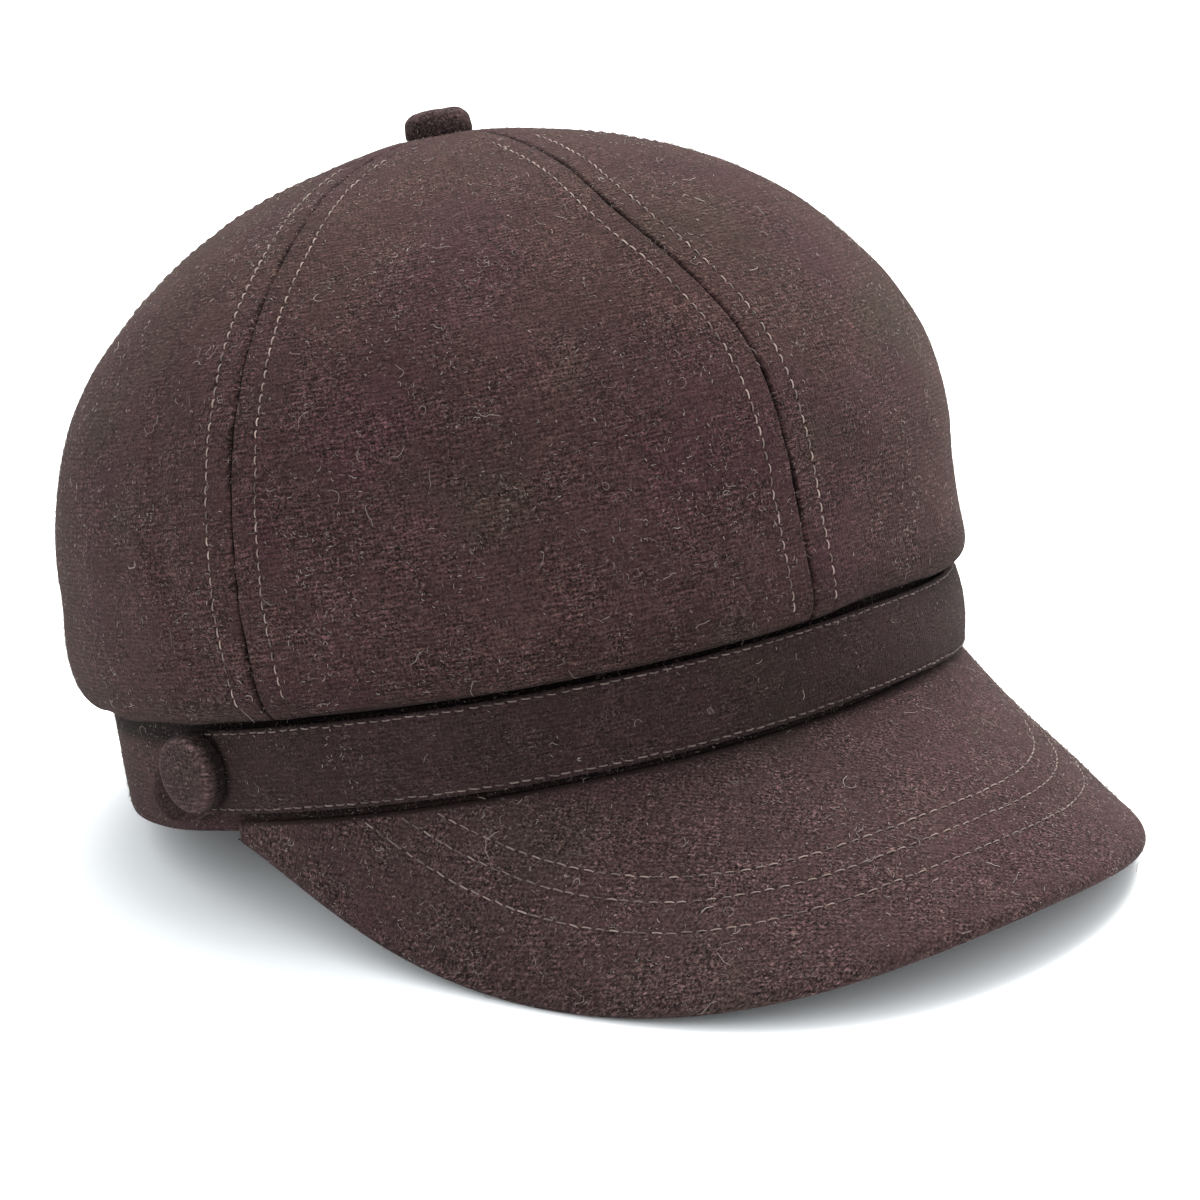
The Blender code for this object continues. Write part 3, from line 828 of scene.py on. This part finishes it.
def stitched(name, body, runs, seed, pitch=STITCH_PITCH, length=STITCH_LENGTH, thick=0.17 * MM, tone=1.0):
    """Rows of lockstitches: each run is a line of points on the cloth and their normals."""
    rng = np.random.default_rng(seed)
    lines, ups = [], []
    share = np.linspace(0, 1, 7)
    for line, normal in runs:
        gone = length_along(line)
        count = int(gone[-1] / pitch)
        start = (np.arange(count) * pitch + rng.normal(0, 0.05, count) * pitch)[:, None]
        at = np.clip(start + share * length * rng.uniform(0.9, 1.08, (count, 1)), 0, gone[-1])
        point = np.stack([np.interp(at, gone, line[:, k]) for k in range(3)], -1)
        up = np.stack([np.interp(at, gone, normal[:, k]) for k in range(3)], -1)
        across = unit(np.cross(point[:, -1:] - point[:, :1], up))
        aside = rng.normal(0, 0.05 * MM, (count, 1, 1))
        slant = aside + (share - 0.5)[None, :, None] * rng.normal(0.10 * MM, 0.10 * MM, (count, 1, 1))
        arch = (-0.12 + 0.40 * np.sin(math.pi * share) ** 0.6) * MM
        lines.append(point + up * arch[None, :, None] + across * slant)
        ups.append(up)
    lines, ups = np.concatenate(lines), np.concatenate(ups)
    count = len(lines)
    size = np.repeat(rng.uniform(0.85, 1.1, (count, 1)) * thick, 7, axis=1)
    size[:, [0, -1]] *= 0.7
    shade = rng.beta(1.6, 1.3, count) * tone
    add_piece(tube_mesh(name, lines, ups, size, size * 0.8, shade, 6), body, "thread", THREAD)


# Crown and lining

# Distances of a crown panel's first columns from its seams, close together where the relief is fine.
NEAR_SEAM = (0.06, 0.25, 0.45, 0.7, 1.0, 1.5, 2.1, 2.8, 3.5, 4.1)
NEAR_SEAM = np.array(NEAR_SEAM + (4.6, 5.0, 5.3, 5.6, 5.9, 6.2, 6.6, 7.2, 8.0, 9.0)) * MM
NEAR_LINING_SEAM = np.array((0.25, 1.0, 2.0, 3.2, 4.8)) * MM


def panel_grid(index, near, far_columns, rows):
    """Angles and s of a panel's grid, with columns at fixed distances from its two seams."""
    low, high = seam_lines(rows)[:, index], seam_lines(rows)[:, index + 1]
    middle = math.radians(SEAMS[index] + SEAMS[index + 1]) / 2
    reach = from_axis(crown_base(middle, rows))
    half = reach * (high - low) / 2
    fit = np.minimum(1, 0.6 * half / near[-1])[:, None]
    close = near * fit
    rest = close[:, -1:] + (half[:, None] - close[:, -1:]) * np.linspace(0, 1, far_columns + 1)[1:]
    offset = np.concatenate([close, rest], 1) / reach[:, None]
    angle = np.concatenate([low[:, None] + offset, (high[:, None] - offset)[:, -2::-1]], 1)
    return angle, np.broadcast_to(rows[:, None], angle.shape), middle


def cloth_uv(angle, s, points, middle):
    return np.stack([(angle - middle) * from_axis(points), -np.interp(s, ARC_S, ARC)], -1)


def crown_rows(first, step):
    start = np.interp(first, ARC, ARC_S)
    visible = np.interp(spread(first, ARC[2 * S_STEPS], step), ARC, ARC_S)
    return np.concatenate([[start], visible[1:], np.linspace(2.0, 3.0, 14)[1:]])


def crown_painted_shade(angle, s):
    """Painted shade on the crown's cloth: in patches along its seam furrows, low down, and in the crease
    where it turns in over the strap.
    """
    base = crown_base(angle, s)
    d = from_seam(angle, s, base)
    patchy = 0.50 + 0.50 * np.clip(ripple(base, 0.010, 71), -1, 1)
    low = 0.26 * smooth(1.40, 1.80, s) * (1 - 0.6 * smooth(0.9, 1.3, angle))
    return np.clip(bell(d, 0, 0.55 * MM) * patchy + low + 1.3 * smooth(1.90, 2.02, s), 0, 1.3)


def build_crown():
    rows = crown_rows(1.6 * MM, 0.8 * MM)
    for index, name in enumerate(PANELS):
        angle, s, middle = panel_grid(index, NEAR_SEAM, 32, rows)
        points, _ = crown_cloth(angle, s)
        uv = cloth_uv(angle, s, points, middle)
        finish = ("cap", "crown_wool", WOOLS["crown_wool"], f"crown_panel_{name}")
        add_sheet(f"crown_cloth_{name}", points, uv, finish, WOOL, painted_shading=crown_painted_shade(angle, s))
        outer = points[: int(0.93 * len(points))]
        fibres_on(outer, "crown_{}_" + name, "cap", "crown_wool", 1500, 9000, 100 + index)
    stitch_crown()


def stitch_crown():
    runs = []
    s = np.interp(spread(30 * MM, ARC[int(1.83 * S_STEPS)], 0.5 * MM), ARC, ARC_S)
    for seam in seam_lines(s).T[1:]:
        reach = from_axis(crown_base(seam, s))
        for side in (-1, 1):
            runs.append(crown_cloth(seam + side * CROWN_STITCH / reach, s))
    stitched("crown_topstitching", "cap", runs, 300)


def lining_cloth(angle, s):
    angle, s = paired(angle, s)
    base, normal = crown_base(angle, s), outward(crown_base, angle, s)
    d = from_seam(angle, s, base)
    lift = ripples(base, (0.35, 0.045, 41), (0.10, 0.014, 42))
    lift -= 0.7 * MM * np.exp(-d / 0.003) * np.abs(np.sin(math.pi * np.interp(s, ARC_S, ARC) / 0.008))
    lift *= (1 - smooth(1.7, 2.0, s)) * smooth(0.004, 0.02, from_axis(base))
    depth = LINING_DEPTH - (LINING_DEPTH - 1.5 * MM) * smooth(2.0, 3.0, s)
    shape = crown_shape(angle, s) * (1 - smooth(2.0, 2.6, s))
    return base + normal * (shape + np.minimum(lift, 0.7 * MM) - depth)[..., None]


def build_lining():
    rows = crown_rows(2.0 * MM, 1.6 * MM)
    for index, name in enumerate(PANELS):
        angle, s, middle = panel_grid(index, NEAR_LINING_SEAM, 18, rows)
        points = lining_cloth(angle, s)
        uv = cloth_uv(angle, s, points, middle)
        finish = ("cap", "lining_satin", SATIN, f"lining_panel_{name}")
        add_sheet(f"lining_cloth_{name}", points, uv, finish, LINING)


# Headband and sweatband


def ring_piece(name, profile, slot, material, node, relief, rise=0.0, depth=None, columns=420):
    """A ring drawn from a profile of (radius, height) pairs, its outer face first.

    rise lifts its lower edge beside the strap's ends, and depth, when given, gives its painted shade.
    """
    angle = (np.arange(columns) * 2 * math.pi / columns)[None, :] + math.pi
    radius, height = (np.array(x)[:, None] for x in zip(*profile))
    base = placed(angle, radius, height)
    beside = bell(np.abs(within_turn(angle)), math.radians(74), math.radians(15))
    points = base + radial(angle) * relief(angle, height, base)[..., None]
    points = points + UP * (rise * smooth(8 * MM, 0, height) * beside)[..., None]
    turns = np.arange(columns + 1) * 2 * math.pi / columns * BAND_R
    uv = np.stack(np.broadcast_arrays(turns[None, :], -length_along(np.array(profile))[:, None]), -1)
    painted_shading = np.broadcast_to(depth(angle, height), points.shape[:2]) if depth else None
    piece = add_piece(grid_mesh(name, points, uv, closed=True, painted_shading=painted_shading), "cap", slot, material, node)
    return points


def band_profile(outer, thickness, low, high, step=0.6 * MM):
    """Down the outer face, round a folded lower edge, and up the inner face."""
    r = thickness / 2
    walls = np.linspace(high, low + r, round((high - low) / step))
    turn = np.linspace(0, math.pi, 9)[1:-1]
    fold = [(outer - r + r * math.cos(t), low + r - r * math.sin(t)) for t in turn]
    return [(outer, z) for z in walls] + fold + [(outer - thickness, z) for z in walls[::-1]]


def headband_painted_shade(angle, height):
    """Painted shade on the headband: under the crown's fold, below the strap across the front and sides, and
    behind the strap and round its ends.
    """
    angle = within_turn(angle)
    from_strap = -strap_edge(angle, height - STRAP_MID + strap_droop(angle))
    below = 1.3 * smooth(7.5 * MM, 5.0 * MM, height) * smooth(1.36, 1.30, np.abs(angle))
    above = 1.8 * smooth(17.5 * MM, 21.5 * MM, height)
    return below + np.maximum(above, 0.9 * smooth(2.2 * MM, 0.2 * MM, from_strap))


def headband_relief(angle, height, base):
    """The gathered back, the seam there, and a slight bulge at the back on the wearer's right."""
    from_back = angle % (2 * math.pi) - math.pi
    rear = 1 - smooth(0.45, 0.75, np.abs(from_back))
    gather = 0.22 * MM * (1 + np.sin(angle * 86 + 2.0 * ripple(base, 0.02, 52))) * rear
    seam = -0.5 * MM * bell(from_back * BAND_R, 0, 0.5 * MM)
    loose = ripples(base, (0.12, 0.03, 51)) + 1.2 * MM * bell(within_turn(angle), -2.2, 0.45)
    outer = smooth(0.5 * WOOL, 0.9 * WOOL, np.hypot(base[..., 0], base[..., 1]) - BAND_R + WOOL)
    return (gather + seam + loose) * outer * smooth(0, 4 * MM, BAND_H - height)


def ribbon_relief(angle, height, base):
    return ripples(base, (0.15, 0.04, 61))


def build_headband():
    profile = band_profile(BAND_R, WOOL, 0.0, BAND_H)
    finish = ("crown_wool", WOOLS["crown_wool"], "headband")
    points = ring_piece("headband_cloth", profile, *finish, headband_relief, 1.6 * MM, headband_painted_shade)
    outer = points[: len(points) // 2]
    fibres_on(outer, "headband_{}", "cap", "crown_wool", 900, 6000, 110)


def build_sweatband():
    ribbon_r = BAND_R - WOOL - 1.4 * MM
    profile = band_profile(ribbon_r, 0.8 * MM, 1.0 * MM, BAND_H)
    ring_piece("sweatband_ribbon", profile, "ribbon", RIBBON, "sweatband", ribbon_relief)
    angle = np.linspace(-math.pi, math.pi, 1200)
    line = radial(angle) * (ribbon_r - 0.85 * MM) + UP * 3.4 * MM
    stitched("sweatband_stitching", "cap", [(line, -radial(angle))], 310)


# Strap


def strap_columns(step):
    centre = BUTTON_ANGLE + STRAP_END_PAST / STRAP_R
    turn = np.radians(np.linspace(0, 88.5, 22)[1:])
    end = centre + STRAP_HALF * np.sin(turn) / STRAP_R
    return np.concatenate([-end[::-1], spread(-centre, centre, step / STRAP_R), end])


def strap_grid(shares, step):
    angle = strap_columns(step)[None, :]
    half = np.sqrt(STRAP_HALF**2 - np.maximum(past_end(angle), 0) ** 2)
    return np.broadcast_arrays(angle, -shares[:, None] * half)


def build_strap():
    finish = ("strap", "strap_wool", WOOLS["strap_wool"])
    shares = np.sin(np.radians(np.linspace(-90, 90, 57)))
    shares = 0.5 * shares + 0.5 * np.linspace(-1, 1, 57)
    angle, z = strap_grid(shares, 0.8 * MM)
    points = strap_cloth(angle, z)
    uv = np.stack([angle * STRAP_R, z], -1)
    painted_shading = strap_painted_shading(angle, z)
    add_sheet("strap_cloth", points, uv, (*finish, "strap_face"), 0.9 * MM, painted_shading=painted_shading)
    fibres_on(points, "strap_{}", "strap", "strap_wool", 260, 7000, 120)

    height = STRAP_MID + z * 0.95 - strap_drop(angle, z)
    points = placed(angle, STRAP_R - 0.75 * MM + strap_curl(angle), height)
    add_sheet("strap_lining", points, uv, (*finish, "strap_backing"), 0.5 * MM)
    stitch_strap()


def stitch_strap():
    centre = BUTTON_ANGLE + STRAP_END_PAST / STRAP_R
    angle = np.linspace(centre, -centre, 400)
    runs = []
    for side, line in ((1, angle), (-1, angle[::-1])):
        height = side * (STRAP_HALF - strap_row(side * np.full(400, 8 * MM)))
        runs.append((strap_cloth(line, height), radial(line)))
    stitched("strap_topstitching", "strap", runs, 320, thick=0.15 * MM, tone=0.42)


# Buttons

BUTTON_COLUMNS = 144


def frame_of(axis):
    """Three columns: two directions across the axis, and the axis."""
    return np.array(Vector(axis).to_track_quat("Z", "Y").to_matrix())


def curve_through(pairs, count):
    """A smooth line of points through control points, by Catmull-Rom."""
    p = np.array(pairs, float)
    p = np.vstack([2 * p[0] - p[1], p, 2 * p[-1] - p[-2]])
    t = np.linspace(0, len(pairs) - 1 - 1e-9, count)
    i = t.astype(int)
    t = (t - i)[:, None]
    a, b, c, d = p[i], p[i + 1], p[i + 2], p[i + 3]
    return 0.5 * (2 * b + (c - a) * t + (2 * a - 5 * b + 4 * c - d) * t**2 + (3 * b - a - 3 * c + d) * t**3)


def button_profile(r, h, crisp):
    """Half the covered button's section: domed face, rolled edge, and the gathered cloth under it.

    crisp is 1 for a tightly covered, flat-faced button and 0 for a soft, round one.
    """
    low = 0.10 * (1 - crisp)
    section = [
        (0.02, 1.0),
        (0.35, 0.975 + 0.005 * crisp),
        (0.62, 0.925 + 0.040 * crisp),
        (0.80 + 0.05 * crisp, 0.84 + 0.09 * crisp),
        (0.94 + 0.02 * crisp, 0.68 + 0.13 * crisp),
        (1.0, 0.45),
        (1.0, 0.10),
        (0.96 - 0.06 * crisp, 0.01 - low),
        (0.72, -low),
        (0.62, 0.03 - low),
    ]
    return curve_through([(x * r, z * h) for x, z in section], 64)


def button_cloth(profile, turn, size, seed):
    """The cover's points about its own axis, with its gathers and small dents."""
    r, h = size
    radius, height = profile[:, :1], profile[:, 1:]
    under = smooth(0.4, 0.0, height / h) * smooth(0.5, 0.9, radius / r)
    out = radius * (1 + 0.03 * np.sin(turn * 22)[None, :] * under)
    local = np.stack(np.broadcast_arrays(np.cos(turn)[None] * out, np.sin(turn)[None] * out, height), -1)
    dent = ripples(local + seed, (0.035, 0.006, seed), (0.018, 0.0022, seed + 1))
    local = local * (1 + (dent / r * smooth(0.0, 0.4, height / h))[..., None] * 0.5)
    local[..., 2] += dent * smooth(0.5, 0.9, height / h)
    return local


def button_painted_shading(profile, size, crisp):
    """Painted shade round the cover's side and a painted highlight along its rim's edge, on a crisp button; a
    soft button is a little lighter all over.
    """
    r, h = size
    radius, height = profile[:, :1], profile[:, 1:]
    # Painted highlight along the rim's edge of the cover.
    painted_edge_highlight = bell(radius, 0.93 * r, 0.10 * r) * smooth(0.70 * h, 0.88 * h, height)
    return crisp * (1.1 * smooth(0.70 * h, 0.40 * h, height) - 0.45 * painted_edge_highlight) - 0.05 * (1 - crisp)


def build_button(side, seat, axis, body, seed, size, crisp, wool_slot):
    profile = button_profile(*size, crisp)
    turn = np.arange(BUTTON_COLUMNS) * 2 * math.pi / BUTTON_COLUMNS
    points = seat + button_cloth(profile, turn, size, seed) @ frame_of(axis).T
    down = length_along(profile)[:, None]
    around = np.append(turn, 2 * math.pi)[None, :]
    uv = np.stack([down * np.cos(around), down * np.sin(around)], -1) + seed * 0.01
    painted_shading = np.broadcast_to(button_painted_shading(profile, size, crisp), points.shape[:2])
    mesh = grid_mesh(f"{side}_button_cloth", points[:, ::-1], uv[:, ::-1], closed=True, painted_shading=painted_shading)
    close_centre(mesh, BUTTON_COLUMNS, seat + frame_of(axis)[:, 2] * size[1])
    piece = add_piece(mesh, body, wool_slot, WOOLS["button_wool"], f"{side}_button_cover")
    thicken(piece, 0.6 * MM)
    face = points[: int(0.8 * len(points)), ::-1]
    fibres_on(face, side + "_button_{}", body, wool_slot, 60, 1300, 130 + seed, 1.1 - 0.5 * crisp)


def close_centre(mesh, columns, centre):
    """Fills the small hole left at the middle of a turned face."""
    first = len(mesh.vertices)
    mesh.vertices.add(1)
    mesh.vertices[first].co = leaned(centre)
    start = len(mesh.loops)
    mesh.loops.add(columns * 3)
    mesh.polygons.add(columns)
    layer = mesh.uv_layers["cloth"]
    middle = Vector(layer.data[0].uv)
    for i in range(columns):
        face = mesh.polygons[len(mesh.polygons) - columns + i]
        face.loop_start = start + 3 * i
        face.use_smooth = True
        for k, vertex in enumerate((first, i, (i + 1) % columns)):
            mesh.loops[start + 3 * i + k].vertex_index = vertex
            layer.data[start + 3 * i + k].uv = middle
    mesh.update(calc_edges=True)


def build_buttons():
    gap = 0.3 * MM
    top_size, side_size = (TOP_BUTTON_R, TOP_BUTTON_H), (SIDE_BUTTON_R, SIDE_BUTTON_H)
    seat = np.array((0.0, APEX_Y, CROWN_H + gap))
    build_button("top", seat, UP, "top_button", 1, top_size, 0.0, "crown_wool")
    for seed, (side, angle) in enumerate((("left", BUTTON_ANGLE), ("right", -BUTTON_ANGLE)), start=2):
        seat = radial(angle) * (STRAP_R + STRAP_BULGE + gap) + UP * BUTTON_Z
        build_button(side, seat, radial(angle), f"{side}_button", seed, side_size, 1.0, "strap_wool")


# Visor


def visor_columns(step):
    turn = np.linspace(-1, 1, round(2 * VISOR_CORNER * BAND_R / step) | 1)
    return VISOR_CORNER * (0.75 * turn + 0.25 * np.sin(turn * math.pi / 2))


def visor_uv(angle, away):
    """Where the visor's cloth lies when it is flat, away being the distance from the headband."""
    root = visor_base(angle[0], 0.0)
    along = visor_base(angle[0], 0.5) - root
    along /= np.linalg.norm(along, axis=-1)[:, None]
    step, way = np.diff(root, axis=0), 0.5 * (along[1:] + along[:-1])
    slide = (step * way).sum(-1)
    side = np.linalg.norm(step - slide[:, None] * way, axis=-1)
    u, v = running(side), running(slide)
    u, v = u - u[len(u) // 2], v - v[len(v) // 2]
    return np.stack([np.broadcast_to(u, away.shape), -(v + away)], -1)


def visor_grid(step, count, *past):
    """Angles and s of a visor cloth: tucked in behind the headband, across the face, then past its rim."""
    rows = np.concatenate([np.linspace(-1, 0, 4)[:-1], np.linspace(0, 1, count), *past])
    return np.meshgrid(visor_columns(step), rows)


def build_visor_top():
    angle, s = visor_grid(0.9 * MM, 88, 1 + np.radians(np.arange(10, 166, 10)))
    points, _ = visor_cloth(angle, s)
    away = np.clip(s, -1, 1) * visor_length(angle) + np.clip(s - 1, 0, None) * VISOR_RIM
    finish = ("cap", "visor_wool", WOOLS["visor_wool"], "visor_upper_cover")
    add_sheet("visor_top_cloth", points, visor_uv(angle, away), finish, 0.95 * MM)
    fibres_on(points[2:-6], "visor_{}", "cap", "visor_wool", 2000, 14000, 140)


def build_visor_under():
    angle, s = visor_grid(1.6 * MM, 44)
    base, normal = visor_base(angle, s), outward(visor_base, angle, np.minimum(s, 0.999))
    edge = (1 - s) * visor_length(angle)
    depth = 2.75 * MM - 0.12 * MM * ripple(base, 0.03, 33) - 0.5 * MM * smooth(1.5 * MM, 0, edge)
    points = base - normal * (depth * visor_thinned(angle))[..., None]
    finish = ("cap", "visor_wool", WOOLS["visor_wool"], "visor_lower_cover")
    add_sheet("visor_under_cloth", points, visor_uv(angle, s * visor_length(angle)), finish, 0.8 * MM)


def build_visor_board():
    """The stiff board between the visor's two cloths."""
    columns = visor_columns(2.5 * MM)
    columns = columns[np.abs(columns) < 0.82 * VISOR_HALF]
    angle, s = np.meshgrid(columns, np.linspace(0, 0.96, 30))
    points = visor_base(angle, s) - outward(visor_base, angle, s) * 1.05 * MM
    mesh = grid_mesh("visor_board_pressed", points, visor_uv(angle, s * visor_length(angle)))
    board = grained("visor_board_fibre", (0.028, 0.022, 0.021), (0.042, 0.033, 0.031), 0.3, 0.04 * MM, 0.6)
    thicken(add_piece(mesh, "cap", "board", board, "visor_board"), 0.8 * MM)


def stitch_visor():
    """The visor's three rows, which sink into the wool on the wearer's left."""
    runs = []
    for depth, half in VISOR_ROWS:
        angle = np.linspace(-1, 1, 1500) * math.radians(half - 0.4)
        line, normal = visor_cloth(angle, visor_row(angle, depth, half) / visor_length(angle))
        sunk = 0.20 * MM * smooth(0.45, 0.85, angle)
        runs.append((line - normal * sunk[:, None], normal))
    stitched("visor_stitching", "cap", runs, 330, pitch=2.7 * MM, length=2.1 * MM, thick=0.15 * MM, tone=0.75)


# Carried-over CAD nodes


def finish_frame_nodes():
    interlining = ("interlining_felted", (0.030, 0.022, 0.021), (0.046, 0.035, 0.033), 0.5, 0.1 * MM, 0.9)
    elastic = ("elastic_woven", (0.018, 0.014, 0.014), (0.034, 0.026, 0.025), 0.4, 0.15 * MM, 0.75)
    steel = ("button_steel_pressed", (0.48, 0.48, 0.49), (0.62, 0.62, 0.63), 0.2, 0.01 * MM, 0.35, 1.0)
    plastic = ("button_back_moulded", (0.020, 0.015, 0.015), (0.030, 0.022, 0.022), 0.3, 0.02 * MM, 0.5)
    wound = ("shank_thread_wound", (0.080, 0.050, 0.040), (0.150, 0.100, 0.080), 0.25, 0.15 * MM, 0.8)
    finishes = {
        "band_stiffener": interlining,
        "rear_elastic": elastic,
        "button_shell": steel,
        "button_back": plastic,
        "button_thread": wound,
    }
    for part, values in finishes.items():
        material = grained(*values)
        for name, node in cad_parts.items():
            if name.endswith(part):
                for slot in node.material_slots:
                    slot.material = material


# Floor, light and camera

FLOOR_HALF, FLOOR_Z = 40.0, -0.00025
CAMERA_AZIMUTH, CAMERA_ELEVATION, CAMERA_ROLL = (math.radians(a) for a in (-36.95, 16.32, -4.51))
CAMERA_PLACE = Vector((-0.31312, -0.41716, 0.19979))
CAMERA_LENS = 75.25


def build_stage():
    mesh = bpy.data.meshes.new("floor")
    corners = ((-1, -1), (1, -1), (1, 1), (-1, 1))
    mesh.from_pydata([(x * FLOOR_HALF, y * FLOOR_HALF, FLOOR_Z) for x, y in corners], [], [(0, 1, 2, 3)])
    floor = bpy.data.objects.new("floor", mesh)
    bpy.context.scene.collection.objects.link(floor)
    paper = Finish("studio_paper", Roughness=0.9, Specular_IOR_Level=0.1)
    tone = paper.noise(paper.place_mm(), 400.0, 2.0)
    colour = paper.mix(paper.band(tone, 0.3, 0.7), (0.900, 0.925, 0.940), (0.915, 0.940, 0.955))
    paper.link("Base Color", colour)
    mesh.materials.append(paper.material)


def build_camera():
    a, e = CAMERA_AZIMUTH, CAMERA_ELEVATION
    back = Vector((math.sin(a) * math.cos(e), -math.cos(a) * math.cos(e), math.sin(e)))
    level = Vector((math.cos(a), math.sin(a), 0.0))
    right = level * math.cos(CAMERA_ROLL) + back.cross(level) * math.sin(CAMERA_ROLL)
    up = back.cross(right)
    data = bpy.data.cameras.new("camera")
    data.lens = CAMERA_LENS
    data.sensor_width = 36.0
    data.clip_start, data.clip_end = 0.01, 50.0
    camera = bpy.data.objects.new("camera", data)
    camera.matrix_world = Matrix.Translation(CAMERA_PLACE) @ Matrix((right, up, back)).transposed().to_4x4()
    bpy.context.scene.collection.objects.link(camera)
    bpy.context.scene.camera = camera


def add_light(name, place, size, power, colour):
    data = bpy.data.lights.new(name, "AREA")
    data.shape = "DISK"
    data.size = size
    data.energy = power
    data.color = colour
    lamp = bpy.data.objects.new(name, data)
    lamp.location = place
    aim = Vector((0.0, 0.0, 0.06)) - Vector(place)
    lamp.rotation_euler = aim.to_track_quat("-Z", "Y").to_euler()
    bpy.context.scene.collection.objects.link(lamp)


def build_light():
    world = bpy.data.worlds.new("studio")
    world.use_nodes = True
    sky = world.node_tree.nodes["Background"]
    sky.inputs["Color"].default_value = (0.965, 0.985, 1.0, 1.0)
    sky.inputs["Strength"].default_value = 1.58
    bpy.context.scene.world = world
    sun = bpy.data.lights.new("window", "SUN")
    sun.energy = 1.9
    sun.color = (1.0, 0.955, 0.90)
    sun.angle = math.radians(50)
    lamp = bpy.data.objects.new("window", sun)
    lamp.rotation_euler = Vector((-0.36, -0.16, -0.92)).to_track_quat("-Z", "Y").to_euler()
    bpy.context.scene.collection.objects.link(lamp)
    add_light("key", (0.66, 0.20, 1.25), 0.9, 33.0, (1.0, 0.95, 0.89))
    bpy.context.scene.view_settings.view_transform = "Standard"


build_crown()
build_lining()
build_headband()
build_sweatband()
build_strap()
build_buttons()
build_visor_top()
build_visor_under()
build_visor_board()
stitch_visor()
finish_frame_nodes()
build_stage()
build_light()
build_camera()

bpy.context.view_layer.update()
